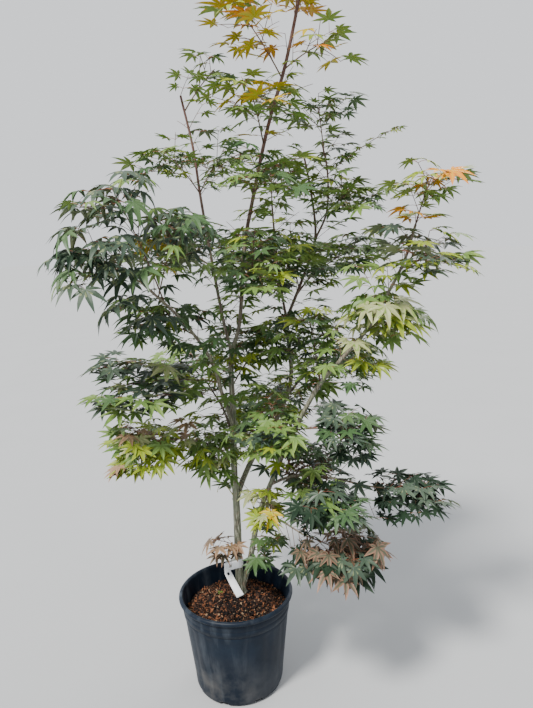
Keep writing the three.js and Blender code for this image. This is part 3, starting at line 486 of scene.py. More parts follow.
def revolved(profile, around, relief=None):
    """A profile of (radius, height) rows, first and last on the axis, turned about the upright axis.
    relief(radius, height, turn) gives the radius of each point."""
    profile = np.asarray(profile, float)
    turn = np.arange(around) * 2 * np.pi / around
    radius, height = (np.broadcast_to(profile[1:-1, k, None], (len(profile) - 2, around)) for k in (0, 1))
    if relief:
        radius = relief(radius, height, turn)
    rows = np.stack([radius * np.cos(turn), radius * np.sin(turn), height], axis=-1).reshape(-1, 3)
    poles = np.array([[0, 0, profile[0, 1]], [0, 0, profile[-1, 1]]])
    number = np.arange(len(rows)).reshape(len(profile) - 2, around)
    beyond = np.roll(number, -1, axis=1)
    walls = np.stack([number[:-1], beyond[:-1], beyond[1:], number[1:]], axis=-1).reshape(-1, 4)
    first = np.stack([np.full(around, len(rows)), beyond[0], number[0]], axis=-1)
    last = np.stack([np.full(around, len(rows) + 1), number[-1], beyond[-1]], axis=-1)
    return np.vstack([rows, poles]), [walls, np.vstack([first, last])]


def box_faces(count):
    """The faces of many boxes whose points follow on, eight for each."""
    return [(BOX_FACES + 8 * np.arange(count)[:, None, None]).reshape(-1, 4)]


def add_mesh(name, points, faces, material, smooth=True, ages=None):
    """A mesh object from points and from face arrays, one array for each number of corners. ages are
    numbers at the points, kept as the attribute age."""
    corners = np.concatenate([face.ravel() for face in faces]).astype(np.int32)
    sizes = np.concatenate([np.full(len(face), face.shape[1]) for face in faces])
    starts = (np.cumsum(sizes) - sizes).astype(np.int32)
    mesh = bpy.data.meshes.new(name)
    mesh.vertices.add(len(points))
    mesh.vertices.foreach_set("co", np.asarray(points, np.float32).ravel())
    mesh.loops.add(len(corners))
    mesh.loops.foreach_set("vertex_index", corners)
    mesh.polygons.add(len(starts))
    mesh.polygons.foreach_set("loop_start", starts)
    mesh.update(calc_edges=True)
    mesh.polygons.foreach_set("use_smooth", np.full(len(starts), smooth))
    if ages is not None:
        mesh.attributes.new("age", "FLOAT", "POINT").data.foreach_set("value", ages.astype(np.float32))
    mesh.materials.append(material)
    piece = bpy.data.objects.new(name, mesh)
    bpy.context.scene.collection.objects.link(piece)
    return piece


def place_piece(piece, slot, *nodes):
    """The piece rides on the plant's one body and stands for the nodes, which are hidden; the slot is not
    used.
    """
    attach(piece, "root")
    if nodes:
        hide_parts(*nodes)


# Materials


def new_node(tree, kind, **inputs):
    """A shader node with the given inputs set by name, an underscore standing for a space."""
    made = tree.nodes.new(kind)
    for name, value in inputs.items():
        made.inputs[name.replace("_", " ")].default_value = value
    return made


def start_material(name, roughness, specular=0.5):
    """A material's tree, its main shader and its object coordinates."""
    material = bpy.data.materials.new(name)
    material.use_nodes = True
    tree = material.node_tree
    shader = tree.nodes["Principled BSDF"]
    shader.inputs["Roughness"].default_value = roughness
    shader.inputs["Specular IOR Level"].default_value = specular
    place = tree.nodes.new("ShaderNodeTexCoord").outputs["Object"]
    return material, tree, shader, place


def stretched(tree, place, scale):
    """Coordinates stretched by a scale for each axis."""
    mapping = new_node(tree, "ShaderNodeMapping", Scale=scale)
    tree.links.new(place, mapping.inputs["Vector"])
    return mapping.outputs["Vector"]


def noise(tree, place, scale, detail=3.0, roughness=0.5):
    """Soft noise from 0 to 1 at the scale."""
    made = new_node(tree, "ShaderNodeTexNoise", Scale=scale, Detail=detail, Roughness=roughness)
    tree.links.new(place, made.inputs["Vector"])
    return made.outputs["Fac"]


def levels(tree, value, low, high, low_out=0.0, high_out=1.0):
    """The value stretched so that low gives low_out and high gives high_out, and no further."""
    made = new_node(tree, "ShaderNodeMapRange", From_Min=low, From_Max=high, To_Min=low_out, To_Max=high_out)
    tree.links.new(value, made.inputs["Value"])
    return made.outputs["Result"]


def blend(tree, factor, first, second):
    """A colour between two, each a colour or another node's output."""
    made = tree.nodes.new("ShaderNodeMix")
    made.data_type = "RGBA"
    tree.links.new(factor, made.inputs["Factor"])
    for socket, colour in (("A", first), ("B", second)):
        target = next(s for s in made.inputs if s.name == socket and s.type == "RGBA")
        if isinstance(colour, tuple):
            target.default_value = (*colour, 1)
        else:
            tree.links.new(colour, target)
    return next(s for s in made.outputs if s.type == "RGBA")


def times(tree, first, second):
    """The product of two numbers."""
    made = tree.nodes.new("ShaderNodeMath")
    made.operation = "MULTIPLY"
    tree.links.new(first, made.inputs[0])
    tree.links.new(second, made.inputs[1])
    return made.outputs["Value"]


def bump(tree, shader, height, distance, strength=1.0):
    """Relief from a height, in metres."""
    made = new_node(tree, "ShaderNodeBump", Strength=strength, Distance=distance)
    tree.links.new(height, made.inputs["Height"])
    tree.links.new(made.outputs["Normal"], shader.inputs["Normal"])


def age_of(tree):
    """The number that a piece's points carry as the attribute age."""
    age = new_node(tree, "ShaderNodeAttribute")
    age.attribute_name = "age"
    return age.outputs["Fac"]


def leaf_material(name, colours, roughness, shine, rim=None):
    """A leaf's plain tint, changing softly from spray to spray, with fine mottling and a soft sheen.
    The age of its points is 1 on the rim and 0 on the midribs, and the rim's tint fades in with it."""
    material, tree, shader, place = start_material(name, roughness, specular=shine)
    patch = levels(tree, noise(tree, place, 11, 2), 0.35, 0.65)
    base = blend(tree, patch, colours[0], colours[1])
    if rim:
        base = blend(tree, levels(tree, age_of(tree), 0.25, 1.0, 0, 0.85), base, rim)
    mottle = levels(tree, noise(tree, place, 240, 3), 0.35, 0.75, 0.0, 0.32)
    darker = tuple(0.55 * part for part in colours[0])
    tree.links.new(blend(tree, mottle, base, darker), shader.inputs["Base Color"])
    tree.links.new(levels(tree, noise(tree, place, 30), 0.3, 0.7, roughness - 0.08, roughness + 0.12),
                   shader.inputs["Roughness"])
    bump(tree, shader, noise(tree, place, 420, 2), 0.0004, 0.5)
    return material


def bark_material(name):
    """Bark by its age: grey-green with pale streaks, dark upright stripes and tan patches on old wood,
    and dull red-brown with pale specks on young."""
    material, tree, shader, place = start_material(name, 0.75, specular=0.3)
    streak = noise(tree, stretched(tree, place, (1, 1, 0.07)), 460, 5, 0.6)
    stripe = noise(tree, stretched(tree, place, (1, 1, 0.05)), 260, 2)
    patch = noise(tree, stretched(tree, place, (1, 1, 0.35)), 38, 3)
    tan = noise(tree, stretched(tree, place, (1, 1, 0.5)), 61, 4, 0.6)
    old = blend(tree, levels(tree, streak, 0.38, 0.60), *OLD_BARK)
    old = blend(tree, levels(tree, stripe, 0.48, 0.58, 0, 0.8), old, OLD_STRIPE)
    old = blend(tree, levels(tree, patch, 0.42, 0.66, 0, 0.65), old, OLD_GREEN)
    old = blend(tree, levels(tree, tan, 0.56, 0.68, 0, 0.6), old, OLD_TAN)
    young = blend(tree, levels(tree, streak, 0.35, 0.65), *YOUNG_BARK)
    young = blend(tree, levels(tree, patch, 0.45, 0.7, 0, 0.5), young, YOUNG_PATCH)
    speck = levels(tree, noise(tree, place, 900, 1), 0.66, 0.72, 0, 0.55)
    young = blend(tree, speck, young, YOUNG_SPECK)
    tree.links.new(blend(tree, age_of(tree), old, young), shader.inputs["Base Color"])
    tree.links.new(levels(tree, streak, 0.3, 0.7, 0.62, 0.88), shader.inputs["Roughness"])
    bump(tree, shader, streak, 0.0012, 0.7)
    return material


def twig_material(name, dark, pale):
    """Young twig skin: two close colours in patches, a little glossy."""
    material, tree, shader, place = start_material(name, 0.48, specular=0.45)
    patch = levels(tree, noise(tree, place, 26, 2), 0.35, 0.65)
    tree.links.new(blend(tree, patch, dark, pale), shader.inputs["Base Color"])
    bump(tree, shader, noise(tree, place, 700, 2), 0.0003, 0.4)
    return material


def pot_material():
    """Black moulded plastic with a fine grain and a scuffed gloss. Dust lies low down and in upright streaks,
    most of it on the left. There the pale patches are partly dust and partly painted sunlight and reflection."""
    material, tree, shader, place = start_material("pot_black_plastic", 0.44, specular=0.17)
    smear = noise(tree, stretched(tree, place, (1, 1, 0.14)), 30, 5, 0.6)
    cloud = noise(tree, place, 9, 4, 0.6)
    split = tree.nodes.new("ShaderNodeSeparateXYZ")
    tree.links.new(place, split.inputs["Vector"])
    low = levels(tree, split.outputs["Z"], 0.0, 0.20, 0.75, 0.0)
    # Painted sunlight: a weight of 1 at the pot's left falls to 0.12 at its right, so the left side is
    # painted paler.
    painted_sunlit_side = levels(tree, split.outputs["X"], -0.13, 0.12, 1.0, 0.12)
    black = blend(tree, levels(tree, cloud, 0.35, 0.7), *BLACK_PLASTIC)
    # Pale upright streaks: partly dust, partly painted sunlight and reflection on the left side.
    dust_and_sun_smears = times(tree, levels(tree, smear, 0.50, 0.78, 0, 0.62), painted_sunlit_side)
    dusty_and_sunlit = blend(tree, dust_and_sun_smears, black, DUST_AND_SUNLIGHT)
    # Pale dust round the foot, weighted to the left as painted sunlight.
    foot = times(tree, times(tree, low, levels(tree, cloud, 0.42, 0.66)), painted_sunlit_side)
    tree.links.new(blend(tree, foot, dusty_and_sunlit, FOOT_DUST_AND_SUNLIGHT), shader.inputs["Base Color"])
    tree.links.new(levels(tree, smear, 0.3, 0.75, 0.34, 0.62), shader.inputs["Roughness"])
    bump(tree, shader, noise(tree, place, 650, 2), 0.0002, 0.35)
    return material


def earthy_material(name, dark, pale, scale):
    """Bark mulch: two browns in grainy patches, rough all over."""
    material, tree, shader, place = start_material(name, 0.88, specular=0.25)
    patch = levels(tree, noise(tree, place, scale, 4, 0.6), 0.36, 0.66)
    tree.links.new(blend(tree, patch, dark, pale), shader.inputs["Base Color"])
    bump(tree, shader, noise(tree, place, scale * 6, 3), 0.0008, 0.8)
    return material


def tag_material():
    """White plastic: faint grey smudges on a matt face."""
    material, tree, shader, place = start_material("tag_white_plastic", 0.42, specular=0.45)
    smudge = levels(tree, noise(tree, place, 55, 4, 0.6), 0.5, 0.8, 0, 0.45)
    tree.links.new(blend(tree, smudge, WHITE_PLASTIC, SMUDGE), shader.inputs["Base Color"])
    bump(tree, shader, noise(tree, place, 120, 2), 0.0002, 0.3)
    return material


# Pot, potting mix and tag


def pot_radius(height):
    """The plain cone of the wall: from the base's radius to the rim's, less the roll, in proportion."""
    return POT["base"] + (POT["rim"] - POT["roll"] - POT["base"]) * height / POT["height"]


def pot_profile():
    """The wall's section: foot, body, beads and rolled rim outside, then the plain inside. The foot is a
    quarter of an ellipse and the rim a part of a circle."""
    top = POT["height"]
    band = top - POT["band"]
    roll = POT["roll"]
    foot = [(POT["base"] - POT["toe"] * (1 - math.sin(turn)), POT["toe_height"] * (1 - math.cos(turn)))
            for turn in np.linspace(0, np.pi / 2, POT["toe_points"])]
    heights = np.linspace(POT_BODY["lowest"], band - POT_BODY["under_band"], POT_BODY["rows"])
    body = [(pot_radius(height), height) for height in heights]
    beads = [(pot_radius(band + read) + out, band + height) for read, height, out in BEADS]
    rim = [(POT["rim"] - roll + roll * math.cos(turn), top - roll + roll * math.sin(turn))
           for turn in np.linspace(ROLL["from"], ROLL["to"], ROLL["points"])]
    lip = (pot_radius(top - POT_INSIDE["lip_read"]) - POT["wall"], top - POT_INSIDE["lip"])
    heights = np.linspace(top - POT_INSIDE["below_rim"], POT_INSIDE["lowest"], POT_INSIDE["rows"])
    inside = [(pot_radius(height) - POT["wall"], height) for height in heights]
    floor = [(POT["base"] - POT_INSIDE["floor_inset"], POT["floor"]), (0, POT["floor"])]
    return [(0, 0), *foot, *body, *beads, *rim, lip, *inside, *floor]


def fluted(radius, height, turn):
    """The radius less the square of a cosine wave that goes round the pot, on the outside between the
    flutes' ends."""
    fade = np.clip((height - FLUTES["bottom"]) / FLUTES["fade"], 0, 1)
    fade = fade * np.clip((FLUTES["top"] - height) / FLUTES["fade"], 0, 1)
    outside = radius > pot_radius(height) - POT["wall"] / 2
    wave = 0.5 - 0.5 * np.cos(FLUTES["count"] * turn)
    return radius - FLUTES["depth"] * fade * outside * wave ** 2


def drain_cutters():
    """Blocks round the pot's foot, one at each notch: the corners of a box that narrows upwards, turned
    about the axis."""
    outward, aside, up = BOX_CORNERS.T
    reach = DRAIN["inner"] + (DRAIN["outer"] - DRAIN["inner"]) * outward
    across = DRAIN["width"] * (aside - 0.5) * (1 - DRAIN["narrowing"] * up)
    height = DRAIN["top"] * (2 * up - 1)
    turn = 2 * np.pi * (np.arange(DRAIN["count"]) + 0.5) / DRAIN["count"]
    x, y = turned(reach, across, turn[:, None])
    points = np.stack([x, y, np.broadcast_to(height, x.shape)], axis=-1).reshape(-1, 3)
    return points, box_faces(DRAIN["count"])


def cut_away(piece, cutter):
    """Takes the cutter out of the piece for good and removes the cutter."""
    cut = piece.modifiers.new("notches", "BOOLEAN")
    cut.operation = "DIFFERENCE"
    cut.object = cutter
    ready = piece.evaluated_get(bpy.context.evaluated_depsgraph_get())
    mesh = bpy.data.meshes.new_from_object(ready)
    piece.modifiers.clear()
    piece.data = mesh
    bpy.data.objects.remove(cutter)


def make_pot():
    """The turned pot with its flutes, and notches cut through the foot of its wall."""
    material = pot_material()
    points, faces = revolved(pot_profile(), POT["around"], fluted)
    pot = add_mesh("pot_wall", points, faces, material)
    cut_away(pot, add_mesh("notch_blocks", *drain_cutters(), material))
    place_piece(pot, "pot_plastic", "pot")


def mix_wall(height):
    """The radius of the mix at a height: the pot's wall less its thickness and the gap."""
    return pot_radius(height) - POT["wall"] - MIX["gap"]


def mix_height(radius):
    """The top of the mix: level at the middle, then two straight slopes down to the wall."""
    wall = mix_wall(MIX["edge"])
    return np.interp(radius, [MIX["flat"], wall - MIX["shoulder"], wall],
                     [MIX["crown"], MIX["edge"] + MIX["slope"], MIX["edge"]])


def make_mix():
    """The body of the mix, clear of the flutes, its top sunk a little under the chips and lumpy: the
    product of a sine along X and one along Y, and a slower one along X."""
    edge = mix_wall(MIX["edge"]) - FLUTES["depth"]
    top = [(radius, mix_height(radius) - MIX["sunk"])
           for radius in np.linspace(edge, MIX["middle"], MIX["rows"])]
    side = [(mix_wall(height) - FLUTES["depth"], height) for height in MIX["side"]]
    floor = POT["floor"] + MIX["seat"]
    profile = [(0, floor), (MIX["foot"], floor), (MIX["foot"], MIX["foot_top"]), *side, *top,
               (0, MIX["crown"] - MIX["sunk"])]
    points, faces = revolved(profile, MIX["around"])
    x, y, z = points.T
    lumps = np.sin(x * LUMPS["x_wave"]) * np.sin(y * LUMPS["y_wave"] + LUMPS["y_shift"])
    lumps = lumps + np.sin(x * LUMPS["slow_wave"] + LUMPS["slow_shift"])
    points[:, 2] += LUMPS["height"] * lumps * (z > MIX["edge"] - LUMPS["below_edge"])
    bed = add_mesh("mulch_bed", points, faces, earthy_material("mix_dark", *DARK_MIX, 130))
    place_piece(bed, "bark_mix", "potting_mix")


def strew_chips(rng):
    """The chips' middles, sizes and turns: strewn evenly over the mix, flat on its slope but for a random
    lean, and clear of the trunk."""
    wall = pot_radius(MIX["edge"]) - POT["wall"] - CHIPS["off_wall"]
    radius = wall * np.sqrt(rng.random(CHIPS["count"]))
    turn = rng.uniform(0, 2 * np.pi, CHIPS["count"])
    centres = np.stack([radius * np.cos(turn), radius * np.sin(turn), np.zeros_like(turn)], axis=-1)
    foot = np.array(LIMBS["trunk"]["route"][0])[:2]
    centres = centres[np.linalg.norm(centres[:, :2] - foot, axis=1) > CHIPS["off_trunk"]]
    centres[:, 2] = mix_height(np.linalg.norm(centres[:, :2], axis=1)) - CHIPS["sunk"]
    count = len(centres)
    sizes = np.stack([rng.uniform(*CHIPS[side], count) for side in ("length", "width", "thickness")], axis=-1)
    turns = np.stack([rng.uniform(0, 2 * np.pi, count), rng.normal(0, CHIPS["tilt"], count)], axis=-1)
    centres[:, 2] += sizes[:, 0] * np.abs(np.sin(turns[:, 1])) * CHIPS["tilt_lift"]
    return centres, sizes, turns


def kinds_of_chips(centres, rng):
    """The kind of each chip by number: dealt out by the shares, with more dark ones as painted shade round a
    spot at the front, by a bell curve of the distance to it, and moss in its own spot."""
    names = list(CHIP_COLOURS)
    kinds = rng.choice(len(names), len(centres), p=CHIP_SHARES)
    # Painted shade: dark chips are dealt more often near the shaded spot.
    painted_shade = np.exp(-((centres[:, :2] - PAINTED_SHADE_SPOT["spot"]) ** 2).sum(-1) / PAINTED_SHADE_SPOT["spread"] ** 2)
    kinds[rng.random(len(centres)) < PAINTED_SHADE_SPOT["most"] * painted_shade] = names.index("dark")
    kinds[np.linalg.norm(centres[:, :2] - MOSS["spot"], axis=1) < MOSS["spread"]] = names.index("moss")
    return kinds


def chip_blocks(centres, sizes, turns, rng):
    """Ragged little blocks: a box's corners moved a little at random, scaled, and turned by two angles."""
    count = len(centres)
    ragged = rng.uniform(-CHIPS["ragged"], CHIPS["ragged"], (count, 8, 3))
    long, wide, thick = np.moveaxis((BOX_CORNERS - 0.5 + ragged) * sizes[:, None], -1, 0)
    spin, lean = turns[:, 0, None], turns[:, 1, None]
    up, out = turned(thick, long, lean)
    x, y = turned(out, wide, spin)
    points = np.stack([x, y, up], axis=-1) + centres[:, None]
    return points.reshape(-1, 3), box_faces(count)


def make_chips():
    """The bark chips over the mix, one piece for each kind."""
    rng = np.random.default_rng(FIRST_SEED)
    centres, sizes, turns = strew_chips(rng)
    kinds = kinds_of_chips(centres, rng)
    for kind, (name, colours) in enumerate(CHIP_COLOURS.items()):
        chosen = kinds == kind
        points, faces = chip_blocks(centres[chosen], sizes[chosen], turns[chosen], rng)
        material = earthy_material("bark_chip_" + name, *colours, 70)
        place_piece(add_mesh("chips_" + name, points, faces, material, smooth=False), "bark_mix")


def strip(name, centres, widths, across, slot_rows, material):
    """A thin strip along its middle line: a grid laid out to both sides of the line by the width, with
    the faces of a small slot left out, and then thickened."""
    columns = TAG["columns"]
    share = np.linspace(-0.5, 0.5, columns)
    points = centres[:, None] + across[:, None] * (share[:, None] * widths[:, None, None])
    number = np.arange(len(centres) * columns).reshape(-1, columns)
    quads = np.stack([number[:-1, :-1], number[:-1, 1:], number[1:, 1:], number[1:, :-1]], axis=-1)
    keep = np.ones(quads.shape[:2], bool)
    keep[slice(*slot_rows), slice(*TAG["slot_columns"])] = False
    piece = add_mesh(name, points.reshape(-1, 3), [quads[keep]], material)
    wall = piece.modifiers.new("thickness", "SOLIDIFY")
    wall.thickness = TAG["thickness"]
    wall.offset = 0
    place_piece(piece, "tag_plastic", "plant_tag")


def trunk_at(height):
    """The place on the trunk's centreline at a height."""
    line = curve_through(LIMBS["trunk"]["route"], np.linspace(0, 1, TRUNK_STEPS))
    return line[np.argmin(np.abs(line[:, 2] - height))]


def loop_line():
    """The loop's middle line from the trunk's middle: half a circle on the right of the trunk and two
    straight legs that draw together on the left, joined across their ends, and sloping down that way."""
    far = LOOP["round"] - LOOP["reach"]
    turn = np.linspace(-np.pi / 2, np.pi / 2, LOOP["bend_points"])
    bend = LOOP["round"] * np.stack([np.cos(turn), np.sin(turn), 0 * turn], axis=-1)
    share = np.linspace(0, 1, LOOP["leg_points"])[1:, None]
    upper = bend[-1] + (np.array([far, LOOP["half_gap"], 0]) - bend[-1]) * share
    lower = (upper * [1, -1, 1])[::-1]
    end = upper[-1:] - [LOOP["nose"], LOOP["half_gap"], 0]
    line = np.vstack([lower, bend, upper, end, lower[:1]])
    line[:, 2] += LOOP["drop"] * np.minimum(line[:, 0], 0)
    return line


def make_tag():
    """The blank tag: the loop round the trunk, and the tail, a straight line with a slight bow forward
    that starts inside the loop's far end, its width's direction turned evenly."""
    material = tag_material()
    place = trunk_at(TAG["height"])
    loop = place + loop_line()
    strip("tag_loop", loop, np.full(len(loop), TAG["width"]), np.tile(UP, (len(loop), 1)),
          LOOP["slot_rows"], material)
    far = LOOP["round"] - LOOP["reach"]
    down = np.linspace(0, 1, TAIL["points"])[:, None]
    start = place + np.array([far + TAIL["inset"], -TAIL["forward"], -TAIL["lower"]])
    line = start + TAIL["length"] * down * unit(np.array(TAIL["way"]))
    line = line - np.array([0, TAIL["bow"], 0]) * np.sin(np.pi * down)
    widths = np.interp(down[:, 0], TAIL["width_places"], TAIL["widths"])
    across = unit(np.array(TAIL["across"]) - TAIL["twist"] * down * np.array([0, 1, 0]))
    strip("tag_tail", line, widths, across, TAIL["slot_rows"], material)


# Limbs


def even_steps(route, spacing):
    """Values of t whose points lie evenly along the curve: the running length is read backwards."""
    fine = np.linspace(0, 1, FINE_STEPS)
    points = curve_through(route, fine)
    run = np.concatenate([[0], np.cumsum(np.linalg.norm(np.diff(points, axis=0), axis=1))])
    count = max(FEWEST_STEPS, int(round(run[-1] / spacing)))
    lengths = np.linspace(0, run[-1], count + 1)
    return np.interp(lengths, run, fine), lengths


def bark_relief(name, lengths, turn, radius):
    """How far the bark stands out: slow sine ridges that drift along the limb, and a rounded swelling
    at each joint, as shares of the radius."""
    rng = np.random.default_rng(sum(map(ord, name)))
    ridges = np.zeros((len(lengths), len(turn)))
    for waves in BARK["ridge_waves"]:
        drift = rng.uniform(-BARK["drift"], BARK["drift"])
        shift = rng.uniform(0, 2 * np.pi)
        sway = BARK["sway"] * np.sin(lengths * rng.uniform(*BARK["sway_rates"]) + shift)
        ridges += np.sin(waves * turn + (lengths * drift + sway + shift)[:, None]) / math.sqrt(waves)
    joints = (lengths / BARK["joint_every"] + rng.random()) % 1
    away = np.minimum(joints, 1 - joints) * BARK["joint_every"] / BARK["joint_width"]
    swelling = BARK["joint"] * np.exp(-away ** 2)
    return (BARK["ridge"] * ridges + swelling[:, None]) * radius[:, None]


def flare(heights, turn):
    """How far the trunk's foot spreads: it fades with height above the mix, and ripples round the foot."""
    above = np.clip(heights - MIX["crown"], 0, None)
    spread = FLARE["spread"] * np.exp(-above / FLARE["height"])
    return spread[:, None] * (1 + FLARE["ripple"] * np.sin(FLARE["ripples"] * turn + FLARE["ripple_shift"]))


def make_limb(name, limb, material):
    """One limb: its curve with a radius that narrows evenly, a collar at the root, or the flare on the
    trunk, and the bark's relief. The bark's age goes evenly with height between two ages."""
    t, lengths = even_steps(limb["route"], BARK["ring"])
    centres = curve_through(limb["route"], t)
    thickest = limb["radius"][0]
    sides = BARK["thick_sides"] if thickest > BARK["thick"] else BARK["thin_sides"]
    turn = np.arange(sides) * 2 * np.pi / sides
    even = share_between(limb["radius"], t)
    relief = bark_relief(name, lengths, turn, even)
    if name == "trunk":
        radii = even[:, None] + relief + flare(centres[:, 2], turn)
    else:
        collar = 1 + BARK["collar"] * np.exp(-lengths / BARK["collar_length"])
        radii = (even * collar)[:, None] + relief
    points, faces = tubes(centres[None], radii[None])
    low, high = AGE_HEIGHTS
    height = np.clip((centres[:, 2] - low) / (high - low), 0, 1)
    ages = np.repeat(share_between(AGES.get(name, OTHER_AGES), height), sides)
    piece = add_mesh("bark_of_" + name, points, faces, material, ages=ages)
    place_piece(piece, "bark" if thickest > BARK["young"] else "young_bark", name)


def make_limbs():
    """Every limb by its own name."""
    material = bark_material("maple_bark")
    for name, limb in LIMBS.items():
        make_limb(name, limb, material)


# Growth


def seeded(seed):
    """A repeatable stream of numbers from 0 to 1: a counter goes up in even steps and is mixed by shifts
    and products of 32 bits."""
    full = 0xFFFFFFFF
    step = 0x6D2B79F5
    state = seed

    def draw():
        nonlocal state
        state = (state + step) & full
        t = ((state ^ (state >> 15)) * (state | 1)) & full
        t ^= (t + (((t ^ (t >> 7)) * (t | 61)) & full)) & full
        return (t ^ (t >> 14)) / 2 ** 32

    return draw


def list_masses():
    """The masses with their seeds, and their middles and weights as arrays."""
    masses = [{"name": name, "limb": limb, "middle": np.array(middle), "size": size, "tint": tint,
               "number": number, "palms": [], "draw": seeded(FIRST_SEED + SEED_STEP * number)}
              for number, (name, limb, middle, size, tint) in enumerate(MASSES)]
    middles = np.array([mass["middle"] for mass in masses])
    weights = np.array([(wide ** 2 + tall ** 2) / 2 for wide, tall in (mass["size"] for mass in masses)])
    return masses, middles, weights


def limb_samples():
    """Points closely spaced along every limb, with the radius at each."""
    points, radii = [], []
    for limb in LIMBS.values():
        t, lengths = even_steps(limb["route"], LIMB_SAMPLE)
        points.append(curve_through(limb["route"], t))
        radii.append(share_between(limb["radius"], t))
    return np.vstack(points), np.concatenate(radii)


def in_space(mass, points):
    """Whether all the points lie on the mass's own side of the plane between it and each other mass:
    none has a smaller squared distance, less the mass's weight, to another's middle."""
    squares = ((points[:, None] - MIDDLES) ** 2).sum(-1) - WEIGHTS
    return (squares >= squares[:, mass["number"], None]).all()


def has_room(points):
    """Whether all the points lie clear of every limb and the pot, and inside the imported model's box."""
    away = np.linalg.norm(points[:, None] - LIMB_POINTS, axis=-1) - LIMB_RADII
    over_pot = np.hypot(points[:, 0], points[:, 1]) < POT["rim"] + LEAF["pot_gap"]
    low_down = points[:, 2] < POT["height"] + LEAF["pot_gap"]
    low, high = (np.array(corner) for corner in CAD_BOX)
    inside = (points > low).all() and (points < high).all()
    return away.min() > LEAF["limb_gap"] and inside and not (over_pot & low_down).any()


def room_inside(mass, start, direction):
    """How far a line runs before it leaves the mass's egg: the far answer of the quadratic that comes
    of dividing the line by the egg's half width and half height."""
    wide, tall = mass["size"]
    egg = np.array([wide, wide, tall])
    begin = (start - mass["middle"]) / egg
    step = direction / egg
    a, b, c = step @ step, begin @ step, begin @ begin - 1
    return (math.sqrt(max(b * b - a * c, 0)) - b) / a


def stem_path(mass):
    """The arch of a mass's stem: from the place on its limb nearest to a spot below the mass, through
    the middle, and on towards the far side."""
    route = LIMBS[mass["limb"]]["route"]
    spot = mass["middle"] - GROWTH["below"] * mass["size"][1] * UP
    places = curve_through(route, ROOT_SHARES)
    root = places[np.argmin(np.linalg.norm(places - spot, axis=1))]
    if mass["name"] in ROOT_PLACES:
        root = curve_through(route, ROOT_PLACES[mass["name"]])
    direction = unit(mass["middle"] - root)
    end = mass["middle"] + direction * GROWTH["beyond"] * room_inside(mass, mass["middle"], direction)
    bend = (root + end) / 2 + GROWTH["arch"] * np.linalg.norm(end - root) * UP
    return root, bend, end


def level_across(along):
    """A level direction across a twig, or a fixed one where the twig is upright."""
    level = np.cross(along, UP)
    return unit(level if np.linalg.norm(level) >= LEAST_LEVEL else UPRIGHT_ACROSS)


def any_turn(draw):
    """A random part of a turn, to either side."""
    return (draw() - 0.5) * GROWTH["any_turn"]


def branch_off(mass, path, at, turn, spread, fill, shortest):
    """A twig that leaves a path at t, spread out to the side and turned about the path, and fills a
    share of the way to the mass's outline; nothing where that is too short or leaves the mass's space."""
    start = arch(path, at)
    along = unit(arch_slope(path, at))
    level = level_across(along)
    sideways = level * math.cos(turn) + np.cross(level, along) * math.sin(turn)
    direction = along * math.cos(spread) + math.sin(spread) * sideways
    length = fill * room_inside(mass, start, direction)
    end = start + direction * length
    bend = (start + end) / 2 + GROWTH["rise"] * length * UP
    if length < shortest or not in_space(mass, end[None]):
        return None
    return start, bend, end


def twig_pairs(kind, mass, path, draw):
    """Twigs of a kind in opposite pairs on a path, each pair turned from the last, out towards the
    outline of the mass. Each twig is drawn only when it is asked for."""
    rule = TWIGS[kind]
    for pair, at in enumerate(rule["at"]):
        turn = (pair + rule["first"]) * rule["turn"] + any_turn(draw)
        for side in (-1, 1):
            spread = side * (rule["angle"] + (draw() - 0.5) * GROWTH["any_angle"])
            fill = share_between(rule["fill"], draw())
            twig = branch_off(mass, path, at, turn, spread, fill, rule["shortest"])
            if twig:
                yield twig


def tip_spots(path):
    """Where a twig's end leaves stand: just back from its end, at headings off its own."""
    ahead = arch_slope(path, 1.0)
    own = math.atan2(ahead[1], ahead[0])
    return [(arch(path, TIP_PLACE), own + turn) for turn in TIP_TURNS]


def node_spots(path, every):
    """Pairs of leaves at even steps along a twig. On a level twig they stand out to both sides, by turns
    wide and narrow; on an upright one each pair is a quarter turn from the last."""
    length = np.linalg.norm(path[2] - path[0])
    spots = []
    for number, run in enumerate(np.arange(FIRST_NODE, length - 0.5 * every, every)):
        along = unit(arch_slope(path, run / length))
        own = math.atan2(along[1], along[0])
        steep = abs(along[2])
        spread = PAIR_SPREADS[number % 2] * (1 - steep) + math.pi / 2 * steep
        own += number * math.pi / 2 * steep ** 2
        spots += [(arch(path, run / length), own + side * spread) for side in (-1, 1)]
    return spots


def all_spots(path, every):
    """The spots at a twig's end and along it."""
    return tip_spots(path) + node_spots(path, every)


def by_height(pair, place):
    """The value at a place between the pair's first at the ground and its second at the crown's top."""
    return share_between(pair, min(max(place[2] / LEAF["top"], 0), 1))


